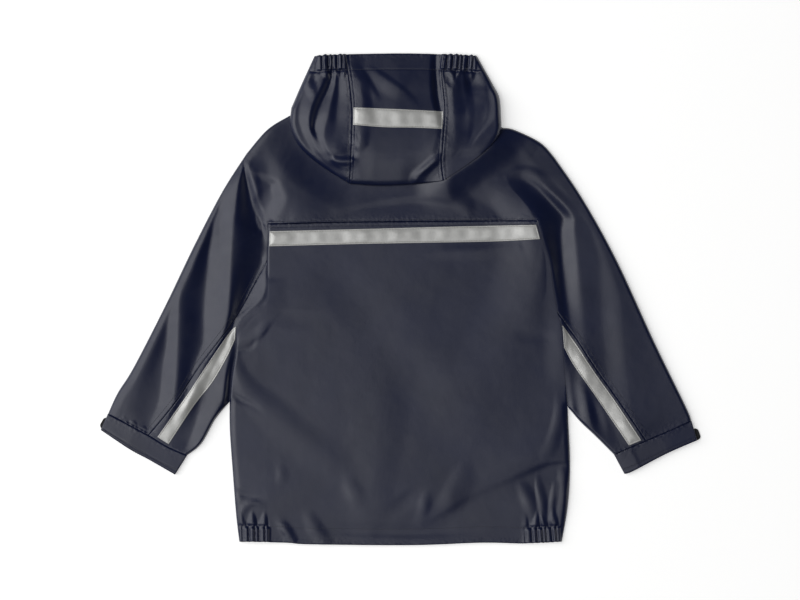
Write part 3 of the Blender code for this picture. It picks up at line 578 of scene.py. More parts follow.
RIGHT_SLEEVE_ROWS = [
    (-190, (150, 216, 228, 246, 276, 310, 360), (3.6, 5.0, 4.2, 4.4, 3.2, 5.2, 4.2)),
    (-165, (150, 214, 226, 240, 268, 300, 350), (3.6, 5.2, 3.6, 4.4, 3.0, 5.4, 4.3)),
    (-130, (150, 209, 222, 234, 254, 288, 340), (3.6, 3.8, 3.0, 4.2, 3.2, 5.4, 4.5)),
    (-80, (150, 204, 218, 232, 256, 281, 318), (3.6, 3.8, 3.2, 4.4, 3.7, 5.6, 5.0)),
    (-35, (150, 200, 213, 230, 252, 277, 300), (3.6, 4.8, 3.0, 4.4, 3.7, 5.7, 5.2)),
    (5, (148, 191.5, 207, 226, 250, 273, 284), (3.6, 6.2, 1.4, 4.6, 3.8, 5.4, 5.2)),
    (50, (140, 184.5, 202, 222, 247, 259, 265), (3.6, 7.6, -0.4, 4.4, 4.1, 4.8, 4.8)),
    (86, (130, 174, 201, 218, 237, 243, 248), (3.6, 8.6, -0.8, 4.4, 4.2, 4.4, 4.4)),
    (102, (124, 167, 203, 217, 227, 233, 239), (3.6, 8.6, -0.4, 4.4, 4.3, 4.4, 4.4)),
    (118, (114, 157, 190, 206, 216, 222, 228), (3.6, 8.2, 0.2, 4.8, 4.6, 4.6, 4.6)),
    (140, (100, 138, 169, 183, 196, 204, 210), (3.6, 6.4, 2.2, 4.8, 4.4, 4.6, 4.6)),
    (153, (96, 133, 152, 172, 186, 196, 203), (3.6, 4.8, 3.6, 5.0, 4.6, 4.6, 4.6)),
    (170, (96, 132, 150, 168, 180, 188, 196), (3.6, 3.8, 3.6, 4.2, 4.2, 4.2, 4.2)),
    (236, (60, 96, 110, 120, 126, 130, 136), (3.6, 3.6, 3.6, 3.6, 3.6, 3.6, 3.6)),
]
UPPER_BACK_FOLDS = [
    [(-166, 92, 8, 70, 0.6), (-152, 102, 14, 74, 2.6), (-143, 114, 17, 74, 3.8), (-139, 127, 18, 74, 4.2),
     (-144, 138, 16, 74, 3.8), (-150, 150, 13, 80, 3.2), (-166, 156, 8, 60, 1.6), (-186, 162, 5, 20, 0.4)],
    [(-174, 90, 8, 12, -0.8), (-173, 106, 9, 14, -1.6), (-171, 120, 10, 14, -1.8), (-168, 132, 9, 10, -0.9),
     (-165, 142, 6, 6, -0.1)],
    [(-190, 166, 6, 6, 0.2), (-184, 154, 7, 8, 0.8), (-181, 138, 7, 9, 0.9), (-184, 120, 7, 7, 0.3)],
    [(-86, 108, 14, 9, 0.1), (-62, 119, 24, 9, 1.2), (-24, 126, 24, 9, 1.6), (20, 130, 22, 9, 1.6),
     (56, 128, 20, 10, 1.3), (80, 116, 14, 10, 1.0), (85, 104, 8, 8, 0.2)],
    [(-140, 97, 30, 6, 0.2), (-110, 97, 36, 6, 1.3), (0, 99, 30, 6, 1.4), (80, 101, 26, 6, 0.8),
     (120, 101, 20, 6, 0.1)],
    [(92, 136, 12, 10, 0.1), (110, 132, 16, 12, 0.8), (130, 116, 18, 12, 0.9), (144, 102, 12, 9, 0.3)],
    [(134, 154, 6, 8, 0.2), (146, 160, 6, 9, 0.7), (162, 160, 6, 9, 0.7), (176, 154, 5, 8, 0.1)],
    [(-222, 120, 8, 7, -0.1), (-221, 90, 9, 8, -0.9), (-223, 40, 10, 8, -1.0), (-226, 0, 9, 8, -0.7),
     (-232, -40, 7, 7, -0.1)],
    [(238, -160, 9, 9, 0.2), (232, -136, 10, 9, 1.2), (226, -112, 9, 8, 1.0), (222, -96, 6, 6, 0.1)],
    [(252, -172, 8, 8, -0.2), (246, -146, 8, 8, -0.9), (240, -126, 6, 6, -0.2)],
]
LEFT_CUFF_SEAM = join(left_cuff_back, left_cuff_front)
RIGHT_CUFF_SEAM = join(right_cuff_front, right_cuff_back)
CUFF_SEAMS = [LEFT_CUFF_SEAM, RIGHT_CUFF_SEAM]
# The left cuff's seam draws its sleeve up into a few small puckers.
CUFF_STRETCHES = [(0.14, 0.5, 6, 6.0)]
YOKE_ROW = 2.2


def draped(x, y, rows):
    """Cloth in long bands. A row is a y, then the x and the rise of its crests and troughs in turn."""
    lines = [smooth_line([(across[k], level, rises[k]) for level, across, rises in rows], step=4.0)
             for k in range(len(rows[0][1]))]
    across = [np.interp(y, line[:, 1], line[:, 0]) for line in lines]
    height = [np.interp(y, line[:, 1], line[:, 2]) for line in lines]
    total = height[0]
    for k in range(len(lines) - 1):
        t = np.clip((x - across[k]) / np.maximum(across[k + 1] - across[k], 0.2), 0.0, 1.0)
        total = total + (height[k + 1] - height[k]) * (0.3 * t + 0.7 * smooth_step(t))
    return total


def heaped(x, y):
    """How much the yoke swells under the hood, from 0 to 1: not on the left, most at the lower right."""
    return smooth_step((x + 110.0) / 170.0) * smooth_step((226.0 - y) / 40.0)


def cornered(x, y):
    """The part of that swell at the hood's lower right corner, where the heap is highest."""
    return smooth_step((x - 16.0) / 50.0) * heaped(x, y)


def upper_back_height(x, y):
    """Outer face of the yoke and of both sleeves."""
    free_left = nearest(x, y, [left_shoulder, left_sleeve_outer])
    free_right = nearest(x, y, [right_shoulder, right_sleeve_outer, left_inner, right_inner])
    free = np.minimum(free_left, free_right)
    under, level = under_level(x, y)
    cuff = nearest(x, y, CUFF_SEAMS)
    bands = np.where(x < 0.0, draped(x, y, LEFT_SLEEVE_ROWS), draped(x, y, RIGHT_SLEEVE_ROWS))
    # The cuffs hold the bands of the sleeves flat.
    bands = BODY_LOFT + (bands - BODY_LOFT) * smooth_step(0.3 + cuff / 30.0)
    swell = 0.16 * np.sin(0.05 * x + 0.03 * y) + 0.14 * np.sin(0.06 * y - 0.03 * x + 1.0)
    rise = np.maximum(bands + folds(x, y, UPPER_BACK_FOLDS) + swell, -0.8)
    rise *= round_up(free_left / 13.0) * round_up(free_right / 4.0)
    # Near the hood the cloth is pressed flat, but it heaps up at the lower right, and it sinks under it.
    gap, side, _ = near_line(x, y, hood_rim)
    clear = np.where(side < 0.0, gap, -gap)
    heap = heaped(x, y)
    corner = cornered(x, y)
    rise *= 0.35 + 0.65 * (heap + (1.0 - heap) * smooth_step(clear / 44.0 + 0.12))
    rise += 2.6 * corner * (1.0 - np.clip(clear / 50.0, 0.0, 1.0))
    rise += 9.5 * corner * (1.0 - smooth_step((clear + 12.0) / 48.0))
    rise -= (3.5 * heap + 7.0 * corner) * smooth_step(-clear / 9.0)
    seams = nearest(x, y, [left_sleeve_seam, right_sleeve_seam])
    dip = seam_dip(seams) + seam_dip(near_line(x, y, yoke_seam)[0], YOKE_ROW) + seam_dip(cuff)
    puckers = gathers(x, y, LEFT_CUFF_SEAM, CUFF_STRETCHES, 0.9, casing=3.0)
    z = level + (rim_height(free) + rise - level) * smooth_step(under / 8.0)
    return z + dip + puckers


def beside(line, distance):
    """Line moved sideways, to its left-hand side where the distance is positive."""
    along = np.gradient(line[:, :2], axis=0)
    along /= np.hypot(along[:, 0], along[:, 1])[:, None]
    return line[:, :2] + distance * np.stack([-along[:, 1], along[:, 0]], axis=1)


def tucked(line, distance, shares):
    """Line moved sideways by a distance that grows from nothing between two shares of its length."""
    way = np.linspace(0.0, 1.0, len(line))
    amount = smooth_step((way - shares[0]) / (shares[1] - shares[0]))[:, None]
    return line[:, :2] * (1.0 - amount) + beside(line, distance) * amount


def rims(length, reach, step):
    """Fine zones of a reach and step at both ends of a length."""
    return [(0.0, reach, step), (length - reach, length, step)]


yoke_across = graded(335.0, 2.7, rims(335.0, 1.0, 0.6))
yoke_along = graded(110.0, 2.3, [(0.0, 2.0, 0.5), (109.0, 110.0, 0.3)])
sleeve_along = graded(369.0, 2.7, [(0.0, 12.0, 0.9)])
hidden_left = tucked(left_side_top[::-1], 3.0, (0.1, 0.6))[::-1]
hidden_right = tucked(right_side_top[::-1], -3.0, (0.1, 0.4))[::-1]
yoke_flat = lay_panel(
    yoke_seam, join(left_shoulder[::-1], neck), left_armhole, right_rim, yoke_across, yoke_along)
left_flat = lay_panel(
    left_cuff_back, left_armhole[::-1], left_sleeve_outer[::-1], join(left_sleeve_seam, hidden_left),
    1.0 - yoke_along[::-1], sleeve_along)
right_sleeve_side = join(right_sleeve_seam, hidden_right)
rim_start = line_length(right_sleeve_side) / line_length(join(right_sleeve_side, right_rim))
right_along = np.concatenate([sleeve_along * rim_start, rim_start + yoke_along[1:] * (1.0 - rim_start)])
right_across = graded(100.0, 2.3, [(0.0, 1.0, 0.5), (99.0, 100.0, 0.3)])
right_flat = lay_panel(
    right_cuff_back, right_shoulder, join(right_sleeve_side, right_rim), right_sleeve_outer[::-1],
    right_across, right_along)
upper_back = make_cloth(
    "yoke_and_sleeve_backs",
    [raised(flat, upper_back_height) for flat in (yoke_flat, left_flat, right_flat)], CLOTH,
    [yoke_seam, left_sleeve_seam, right_sleeve_seam] + CUFF_SEAMS)
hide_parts("back_yoke", "sleeve_left_upper", "sleeve_right_upper")

# Under-sleeve panels
# A tapered panel under each arm carries the reflective strip. It is sewn to the sleeve back with two
# rows of stitches, and it comes out from under the body's folded edge.
under_across = graded(54.0, 1.9, [(0.0, 2.0, 0.6), (53.4, 54.0, 0.3)])
under_along = graded(264.0, 2.5, [(0.0, 8.0, 0.9)])
left_under_edge = join(left_inner, tucked(left_side_mid, -3.0, (0.0, 0.1)))
left_tip = np.array([left_sleeve_seam[-1, :2], left_under_edge[-1]])
left_under_flat = lay_panel(
    left_cuff_front, left_tip, left_sleeve_seam, left_under_edge, under_across, under_along)
right_under_edge = join(right_inner, tucked(right_side_mid, 3.0, (0.0, 0.1)))
right_tip = np.array([right_under_edge[-1], right_sleeve_seam[-1, :2]])
right_under_flat = lay_panel(
    right_cuff_front, right_tip, right_under_edge, right_sleeve_seam, 1.0 - under_across[::-1], under_along)
for name, flat, node_name, seam, area in (
        ("under_sleeve_left", left_under_flat, "sleeve_left_under", left_sleeve_seam, 0.0102),
        ("under_sleeve_right", right_under_flat, "sleeve_right_under", right_sleeve_seam, 0.0081)):
    panel = make_cloth(name, [raised(flat, upper_back_height)], CLOTH, [seam] + CUFF_SEAMS)
    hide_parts(node_name)

# Reflective strips
# Silver tape with glass beads, about 20 mm wide, sewn on flat along both edges: one below the yoke
# seam, one down each under-sleeve panel and one across the hood.
TAPE_WALL = 0.4
STRIP_ROW = 1.6

# Retroreflective tape: glass beads on aluminium, pressed on woven cloth, pale grey, half matte.
bead_tape, tree, shader = start_material(
    "glass_bead_reflective_tape", {"Metallic": 0.45, "Roughness": 0.42})
# Beads sit denser in places, which clouds the grey over about 10 mm.
cloud = pattern(tree, "TexNoise", "Fac", {"Scale": 90.0, "Detail": 3.0, "Roughness": 0.6})
set_tone(tree, shader, cloud, "#a9a9a7", "#c5c5c3")
# Bead grain drawn 0.5 mm wide, coarser than the real beads so that it shows close up.
beads = pattern(tree, "TexVoronoi", "Distance", {"Scale": 2000.0})
emboss(tree, shader, (beads, 0.00004))


def strip_height(surface, upper, lower, phase):
    """Height function of a strip that lies on a surface, with soft waves along it and thinned rims."""
    rim = np.vstack([upper, lower[::-1], upper[:1]])

    def height(x, y):
        gap = near_line(x, y, rim)[0]
        along = near_line(x, y, upper)[2] * line_length(upper) / (len(upper) - 1)
        waves = 0.5 + 0.34 * np.sin(along / 8.3 + phase) + 0.16 * np.sin(along / 3.1 + 2.0 * phase)
        waves += 0.3 * np.sin(along / 21.0 + 3.0 * phase)
        tape = TAPE_WALL * (0.45 + 0.55 * round_up(gap / 0.6))
        stitched = groove(gap - STRIP_ROW, 0.16, 0.5)
        return surface(x, y) + LAYER_GAP + tape + waves * smooth_step(gap / 7.0) + stitched

    return height


def make_strip(name, node_name, surface, upper, lower, phase):
    """Strip between its upper and lower edge, both from left to right. Gives its height function."""
    height = strip_height(surface, upper, lower, phase)
    length = line_length(upper)
    across = graded(length, 2.0, rims(length, 0.6, 0.3))
    along = graded(20.0, 1.6, rims(20.0, 2.2, 0.3))
    left = np.array([lower[0], upper[0]])
    right = np.array([lower[-1], upper[-1]])
    flat = lay_panel(lower, upper, left, right, across, along)
    strip = make_cloth(name, [raised(flat, height)], [bead_tape], wall=0.8 * TAPE_WALL)
    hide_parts(node_name)
    return height


back_strip_upper = smooth_line([(-163, 85), (-40, 88), (69, 91), (169.5, 93)])
back_strip_lower = smooth_line([(-163.5, 66), (-46, 69), (114, 72), (174.5, 75)])
back_strip_high = make_strip(
    "reflective_strip_back", "stripe_back", lower_back_height, back_strip_upper, back_strip_lower, 0.4)
left_strip_upper = smooth_line([(-205, -34), (-214, -43), (-245, -88), (-265, -118), (-303, -172)])[::-1]
left_strip_lower = smooth_line([(-206, -50), (-216, -72), (-234, -103), (-258, -134), (-289, -181)])[::-1]
left_strip_high = make_strip(
    "reflective_strip_sleeve_left", "stripe_sleeve_left", upper_back_height, left_strip_upper,
    left_strip_lower, 1.3)
right_strip_upper = smooth_line([(202.5, -32), (220.5, -57), (242, -90), (269, -128), (301, -176)])
right_strip_lower = smooth_line([(204.5, -60), (217, -83), (243, -120), (285.5, -182.5)])
right_strip_high = make_strip(
    "reflective_strip_sleeve_right", "stripe_sleeve_right", upper_back_height, right_strip_upper,
    right_strip_lower, 2.1)

# Hood
# Three panels, a centre one and two sides, that lie in a soft heap on the yoke. The edge of the face
# opening has a casing 20 mm deep, and elastic gathers it over both side panels.
HOOD_ROW = 3.8
hood_top = smooth_line([(-107, 304), (-68, 306), (0, 307), (56, 306), (96, 304)])
hood_left_seam = smooth_line([(-63, 144), (-61, 179), (-60, 242), (-68, 306)])
hood_right_seam = smooth_line([(54, 148), (52, 172), (56, 234), (52, 282), (56, 306)])
hood_top_left = smooth_line([(-107, 304), (-86, 305.2), (-68, 306)])
hood_top_middle = smooth_line([(-68, 306), (0, 307), (56, 306)])
hood_top_right = smooth_line([(56, 306), (76, 305.2), (96, 304)])
# Rows of the hood: y, then the x and the rise of the crests and troughs from left to right.
HOOD_ROWS = [
    (145, (-62, -61, -60, -59, -58, -55, -48, -32, 0, 13, 18, 30, 38, 44, 48, 51, 54),
     (7.4, 7.4, 7.4, 7.5, 7.6, 7.8, 8.2, 9.0, 9.6, 8.6, 11.0, 9.0, 8.6, 8.2, 8.0, 7.8, 7.6)),
    (160, (-80, -76, -74, -72, -70, -60, -50, -32, 0, 20, 30, 43, 50, 54, 58, 62, 66),
     (8.0, 8.6, 9.0, 9.4, 9.6, 10.0, 11.2, 12.4, 13.0, 11.8, 14.2, 11.6, 11.0, 10.4, 10.0, 9.6, 9.2)),
    (171, (-96, -88, -86, -81, -76, -61, -50, -32, 0, 31, 41, 51, 57, 63, 67, 71, 76),
     (9.2, 10.8, 11.4, 13.4, 13.8, 13.6, 13.2, 14.2, 14.6, 13.6, 15.2, 13.2, 12.0, 11.4, 11.0, 10.6, 10.0)),
    (178, (-104, -94, -90, -83, -78, -61, -50, -32, 0, 36, 45, 52, 61, 70, 75, 79, 83),
     (9.6, 11.6, 12.4, 14.0, 13.2, 12.0, 13.8, 14.8, 15.0, 14.4, 14.8, 13.6, 13.0, 12.0, 11.2, 10.8, 10.4)),
    (185, (-110, -100, -96, -88, -80, -60, -50, -32, 0, 40, 47, 53, 64, 74, 80, 84, 89),
     (10.0, 12.2, 12.8, 14.8, 15.2, 12.6, 14.6, 15.2, 15.2, 15.0, 14.2, 14.0, 14.2, 13.4, 13.2, 13.2, 13.2)),
    (200, (-119, -107, -103, -94, -80, -61, -50, -32, 0, 44, 50, 55, 69, 82, 87, 92, 97),
     (10.4, 12.6, 12.4, 14.8, 14.6, 14.4, 15.6, 15.2, 15.2, 14.6, 14.0, 13.8, 14.6, 13.6, 13.3, 13.6, 14.2)),
    (212, (-124, -112, -107, -94, -80, -61, -50, -32, 0, 45, 52, 56, 69, 84, 90, 100, 108),
     (10.4, 12.8, 9.2, 13.8, 13.2, 13.8, 15.2, 14.6, 14.8, 14.4, 13.3, 13.2, 14.6, 13.4, 12.9, 13.8, 14.6)),
    (225, (-127, -113, -105, -90, -80, -61, -46, -32, 0, 45, 52, 56.5, 68, 84, 93, 108, 119),
     (10.0, 13.6, 9.4, 13.0, 11.4, 12.8, 14.2, 13.4, 14.0, 13.8, 11.4, 12.4, 14.2, 13.0, 12.2, 13.6, 14.8)),
    (240, (-126, -110, -100, -87, -79, -62, -46, -34, 0, 41, 49.5, 56, 67, 82, 93, 110, 122),
     (9.0, 13.2, 8.2, 11.6, 9.8, 11.8, 13.8, 12.2, 13.6, 13.2, 8.6, 11.4, 13.4, 12.0, 11.2, 12.8, 14.2)),
    (255, (-122, -104, -93, -84, -77, -63, -47, -36, 0, 38, 47, 54, 66, 80, 90, 108, 121),
     (8.0, 11.8, 6.6, 10.0, 8.4, 10.8, 13.0, 10.8, 12.4, 12.0, 6.8, 10.4, 12.6, 10.8, 9.4, 11.2, 13.0)),
    (270, (-117, -97, -87, -81, -77, -64, -51, -38, 0, 37, 46, 53, 65, 78, 88, 107, 118),
     (6.0, 9.4, 4.6, 7.8, 6.8, 9.5, 11.2, 8.6, 10.8, 10.4, 4.8, 9.0, 11.6, 9.4, 5.0, 7.6, 10.2)),
    (288, (-110, -94, -85, -81, -76, -66, -58, -45, 0, 37, 45, 53, 60, 78, 86, 96, 103),
     (4.0, 6.4, 3.0, 5.0, 4.6, 6.4, 6.8, 5.4, 6.8, 7.0, 2.6, 7.0, 7.0, 6.8, 3.4, 5.0, 6.5)),
    (307, (-104, -100, -95, -90, -80, -68, -60, -40, 0, 38, 45, 55, 62, 76, 84, 90, 95),
     (2.4, 2.8, 2.8, 2.8, 2.8, 2.8, 2.8, 2.8, 3.0, 3.4, 1.4, 3.4, 3.2, 3.2, 2.4, 2.6, 2.8)),
]
HOOD_STRETCHES = [(-0.02, 0.21, 7, 12.0), (0.75, 1.02, 8, 14.0)]
HOOD_FOLDS = [
    [(-112, 282, 6, 8, 0.3), (-112, 268, 7, 8, 1.6), (-109, 252, 6, 6, 0.3)],
    [(-104, 281, 5, 6, -0.4), (-108, 272, 6, 7, -1.4), (-112, 262, 5, 6, -0.3)],
    [(-50, 287, 4, 7, 0.2), (-43, 274, 5, 9, 1.2), (-36, 262, 5, 9, 0.9), (-28, 250, 4, 6, 0.1)],
    [(-38, 288, 5, 10, 0.2), (-20, 276, 5, 14, 0.8), (0, 262, 5, 14, 0.8), (17, 247, 4, 9, 0.2)],
    [(-58, 202, 6, 8, 0.3), (-50, 192, 9, 9, 1.3), (-46, 204, 8, 8, 0.8), (-44, 214, 6, 6, 0.2)],
    [(18, 146, 6, 5, 0.8), (19, 154, 6, 5, 1.7), (30, 162, 7, 6, 1.8), (46, 174, 7, 6, 1.4),
     (52, 180, 5, 5, 0.4)],
    [(-82, 174, 5, 5, 0.6), (-74, 172, 5, 5, 1.2), (-62, 173, 5, 5, 1.3), (-56, 172, 4, 4, 0.3)],
    [(58, 282, 6, 6, -0.2), (62, 272, 6, 6, -1.3), (66, 264, 5, 5, -0.3)],
    [(84, 206, 12, 10, 0.2), (92, 226, 12, 10, 1.0), (96, 246, 10, 10, 0.4)],
]


def hood_height(x, y):
    """Outer face of the hood, heaped on the yoke and flatter at the face opening."""
    side = near_line(x, y, hood_rim)[0]
    top = near_line(x, y, hood_top)[0]
    corner = cornered(x, y)
    # The rim lies on the yoke's heap and comes down to the table beside the face opening.
    lip = FLOOR_EDGE + (5.55 + 5.6 * heaped(x, y) + 6.6 * corner) * smooth_step((254.0 - y) / 34.0)
    puff = REST + 1.7 * smooth_step((258.0 - y) / 30.0) + 2.6 * corner
    puff += 0.92 * draped(x, y, HOOD_ROWS) + folds(x, y, HOOD_FOLDS)
    body = lip + np.logaddexp(0.0, puff - lip) * round_up(side / 7.0)
    pleats = gathers(x, y, hood_top, HOOD_STRETCHES, 3.6) * round_up(side / 5.0)
    casing = groove(top - CASING, 0.2, 0.9) + groove(top, 0.9, 0.9)
    seams = sum(seam_dip(near_line(x, y, seam)[0], HOOD_ROW) for seam in (hood_left_seam, hood_right_seam))
    return body + pleats + casing + seams


hood_along = graded(163.0, 2.0, [(0.0, 0.6, 0.25), (141.0, 145.0, 0.6), (161.5, 163.0, 0.4)])
side_across = graded(40.0, 0.75, [(0.0, 0.5, 0.2), (39.0, 40.0, 0.4)])
middle_across = graded(122.0, 1.8, rims(122.0, 4.5, 0.5))
# Each panel's node, its four edges, its columns, and its flat size and area.
HOOD_PANELS = {
    "hood_middle": (
        "hood_centre", hood_bottom, hood_top_middle, hood_left_seam, hood_right_seam, middle_across,
        (0.124, 0.166), 0.0198),
    "hood_side_left": (
        "hood_left", hood_left_low, hood_top_left, hood_left_high[::-1], hood_left_seam, side_across,
        (0.09, 0.17), 0.0108),
    "hood_side_right": (
        "hood_right", hood_right_low, hood_top_right, hood_right_seam, hood_right_high,
        1.0 - side_across[::-1], (0.09, 0.17), 0.0102)}
for name, (node_name, bottom, top, left, right, across, cut, area) in HOOD_PANELS.items():
    flat = lay_panel(bottom, top, left, right, across, hood_along)
    # The pleats pull the rim of the face opening into scallops.
    x, y = flat[..., 0], flat[..., 1]
    pleats = gathers(x, y, hood_top, HOOD_STRETCHES, 1.0)
    y += 1.3 * (pleats - 0.4 * (pleats > 0.02)) * np.exp(-near_line(x, y, hood_top)[0] / 5.0)
    panel = make_cloth(
        name, [raised(flat, hood_height)], CLOTH, [hood_left_seam, hood_right_seam, hood_top])
    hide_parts(node_name)

hood_strip_upper = smooth_line([(-58, 239), (-19, 237.5), (15, 236), (53.5, 234)])
hood_strip_lower = smooth_line([(-58.5, 217), (-19, 214), (15, 213.5), (52.5, 212)])
hood_strip_high = make_strip(
    "reflective_strip_hood", "stripe_hood", hood_height, hood_strip_upper, hood_strip_lower, 0.9)

# Fronts
# The fronts lie flat on the table under the back: a plain placket down the middle, a front on each side
# of it, the fronts of the sleeves and the stretch of each hood side that edges the face opening.
FLOOR_WALL = 1.0
FLOOR_FACE = 0.1
# How far the fronts stay inside the rim of the back, and the share of a sleeve's side that its front has.
INSET = 1.4
HEM_INSET = 0.6
SLEEVE_SHARE = 0.988
FRONT_ROW = 4.0
PLACKET_HALF = 22.0
left_armhole_front = smooth_line([(-213, -128), (-195, -38), (-180, 49), (-178, 124), (-192, 182)])
right_armhole_front = smooth_line([(209, -134), (195, -45), (181, 43), (179, 118), (193, 177)])
left_face_edge = smooth_line([(0, 214), (-20, 238), (-62, 275), (-98, 304)])
right_face_edge = smooth_line([(0, 214), (20, 238), (58, 274), (87, 304)])
placket_left = np.array([(-PLACKET_HALF, -305.0), (-PLACKET_HALF, 216.5)])
placket_right = np.array([(PLACKET_HALF, -305.0), (PLACKET_HALF, 216.5)])


def stretch(line, low, high):
    """Part of a line between two shares of its length."""
    return places(line[:, :2], np.linspace(low, high, len(line)))


def cut_at_placket(line, first, last):
    """Parts of a line left of the placket, over it and right of it, between two values of x."""
    x, y = line[:, 0], line[:, 1]
    start, end = (np.array([[edge, np.interp(edge, x, y)]]) for edge in (-PLACKET_HALF, PLACKET_HALF))
    left = line[(x > first) & (x < -PLACKET_HALF - 0.5), :2]
    middle = line[np.abs(x) < PLACKET_HALF - 0.5, :2]
    right = line[(x > PLACKET_HALF + 0.5) & (x < last), :2]
    return np.vstack([left, start]), np.vstack([start, middle, end]), np.vstack([end, right])


hem_left, hem_middle, hem_right = cut_at_placket(hem[:, :2] + np.array([0.0, HEM_INSET]), -200.0, 200.0)
neck_left_part, neck_middle, neck_right_part = cut_at_placket(neck, -138.9, 126.9)
front_top_left = join(beside(left_shoulder[::-1], -INSET), neck_left_part)
front_top_right = join(neck_right_part, beside(right_shoulder, -INSET))
front_side_left = beside(join(left_side_low, left_armhole_front), -INSET)
front_side_right = beside(join(right_side_low, right_armhole_front), INSET)
left_sleeve_rim = beside(stretch(left_sleeve_outer[::-1], 0.0, SLEEVE_SHARE), -INSET)
right_sleeve_rim = beside(stretch(right_sleeve_outer[::-1], 0.0, SLEEVE_SHARE), INSET)
left_armhole_rim = join(beside(left_inner, INSET), stretch(left_armhole_front, 0.0, SLEEVE_SHARE))
right_armhole_rim = join(beside(right_inner, -INSET), stretch(right_armhole_front, 0.0, SLEEVE_SHARE))
FLOOR_SEAMS = [left_armhole_front, right_armhole_front, placket_left, placket_right, neck]
# Each panel's node, its four edges, the grid's width and height, and its flat size and area.
FLOOR_PANELS = {
    "front_of_body_left": (
        "front_left", hem_left, front_top_left, front_side_left,
        np.array([hem_left[-1], neck_left_part[-1]]), 178.0, 540.0, (0.19, 0.55), 0.0925),
    "front_of_body_right": (
        "front_right", hem_right, front_top_right, np.array([hem_right[0], neck_right_part[0]]),
        front_side_right, 178.0, 520.0, (0.19, 0.54), 0.091),
    "placket": (
        "front_placket", hem_middle, neck_middle, np.array([hem_middle[0], neck_middle[0]]),
        np.array([hem_middle[-1], neck_middle[-1]]), 44.0, 520.0, (0.044, 0.524), 0.0228),
    "front_of_sleeve_left": (
        "sleeve_left_front", LEFT_CUFF_SEAM, np.array([left_sleeve_rim[-1], left_armhole_rim[-1]]),
        left_sleeve_rim, left_armhole_rim, 112.0, 370.0, (0.13, 0.38), 0.0325),
    "front_of_sleeve_right": (
        "sleeve_right_front", RIGHT_CUFF_SEAM, np.array([right_armhole_rim[-1], right_sleeve_rim[-1]]),
        right_armhole_rim, right_sleeve_rim, 105.0, 372.0, (0.13, 0.38), 0.0334),
    "hood_turn_left": (
        "hood_left_under", left_neck, np.array([(-105.5, 302.8), (-98.0, 303.0)]),
        beside(hood_left_high[::-1], -INSET), left_face_edge, 140.0, 90.0, (0.14, 0.09), 0.0043),
    "hood_turn_right": (
        "hood_right_under", right_neck, np.array([(87.0, 303.0), (94.5, 302.8)]),
        right_face_edge, beside(hood_right_high, INSET), 130.0, 90.0, (0.13, 0.09), 0.0044),
}


def floor_height(x, y):
    """Outer face of the fronts, which looks down: flat on the table, lifted at the seams."""
    gaps = [near_line(x, y, seam)[0] for seam in FLOOR_SEAMS]
    lifts = [-groove(gap, 0.45, 0.9) - groove(gap - FRONT_ROW, 0.5, 1.0) for gap in gaps]
    return FLOOR_FACE + np.max(lifts, axis=0)


for name, (node_name, bottom, top, left, right, wide, tall, cut, area) in FLOOR_PANELS.items():
    across = graded(wide, 4.0, rims(wide, 1.0, 0.6))
    along = graded(tall, 5.0, rims(tall, 2.0, 0.8))
    flat = lay_panel(bottom, top, left, right, across, along)
    panel = make_cloth(name, [raised(flat, floor_height)], CLOTH, FLOOR_SEAMS, FLOOR_WALL, face_down=True)
    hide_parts(node_name)

# Cuffs
# Each cuff is a doubled band of the same cloth, sewn to the sleeve's end and left open at the hand. A
# black hook-and-loop tab lies under its outer end.
CUFF_REST = 1.7
CUFF_WIDE = 112.0
CUFF_DEPTH = 25.0
CUFF_ROW = 21.0
left_cuff_hand = smooth_line([(-374, -163), (-338, -187), (-314, -200), (-281, -219)])
right_cuff_hand = smooth_line([(280, -218), (290, -215), (332, -193), (371, -176)])
# Shares of each cuff's width, with its height there: a soft ridge where the doubled band buckles.
LEFT_CUFF_SHAPE = ((0.0, 0.16, 0.36, 0.5, 0.8, 1.0), (4.4, 4.8, 5.4, 5.2, 4.4, 3.8))
RIGHT_CUFF_SHAPE = ((0.0, 0.08, 0.2, 0.24, 0.6, 1.0), (3.4, 4.2, 5.0, 4.8, 5.2, 4.6))


def make_cuff(name, node_name, seam, hand, shape):
    """Flattened ring between the sleeve's end and the hand's opening. Gives its height function."""
    across = graded(CUFF_WIDE, 1.8, rims(CUFF_WIDE, 1.6, 0.2))
    along = graded(CUFF_DEPTH, 1.6, [(0.0, 1.5, 0.4), (20.0, CUFF_DEPTH, 0.4)])
    left, right = (np.array([hand[end, :2], seam[end, :2]]) for end in (0, -1))
    flat = lay_panel(hand, seam, left, right, across, along)
    up = CUFF_DEPTH * (1.0 - along)[:, None]
    middle = 0.5 * np.interp(across, *shape)
    half = middle * round_up(np.minimum(across, 1.0 - across) * 66.0)
    # The band is thinner at both rims and along its row of stitches.
    pinch = -groove(up, 0.6, 0.9) - groove(up - CUFF_ROW, 0.3, 0.8) - groove(CUFF_DEPTH - up, 0.5, 1.0)
    thin = half * np.clip(1.0 - pinch / np.maximum(half, 0.8), 0.3, 1.0)
    top = np.dstack([flat, CUFF_REST + middle + thin])
    low = np.dstack([flat, CUFF_REST + middle - thin])[:, ::-1]
    piece = make_cloth(name, [np.concatenate([low, top[:, 1:]], axis=1)], CLOTH, [seam])
    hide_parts(node_name)

    def height(x, y):
        share = near_line(x, y, seam)[2] / (len(seam) - 1)
        return CUFF_REST + np.interp(share, *shape)

    return height


left_cuff_high = make_cuff(
    "cuff_band_left", "cuff_left", LEFT_CUFF_SEAM, left_cuff_hand, LEFT_CUFF_SHAPE)
right_cuff_high = make_cuff(
    "cuff_band_right", "cuff_right", RIGHT_CUFF_SEAM, right_cuff_hand, RIGHT_CUFF_SHAPE)

# Hook-and-loop tape: nylon hooks on woven nylon, jet black and matte, with a painted sparkle: hook tops
# painted lighter, gaps painted darker.
hook_tape, tree, shader = start_material("nylon_hook_tape", {"Roughness": 0.7, "Sheen Weight": 0.1})
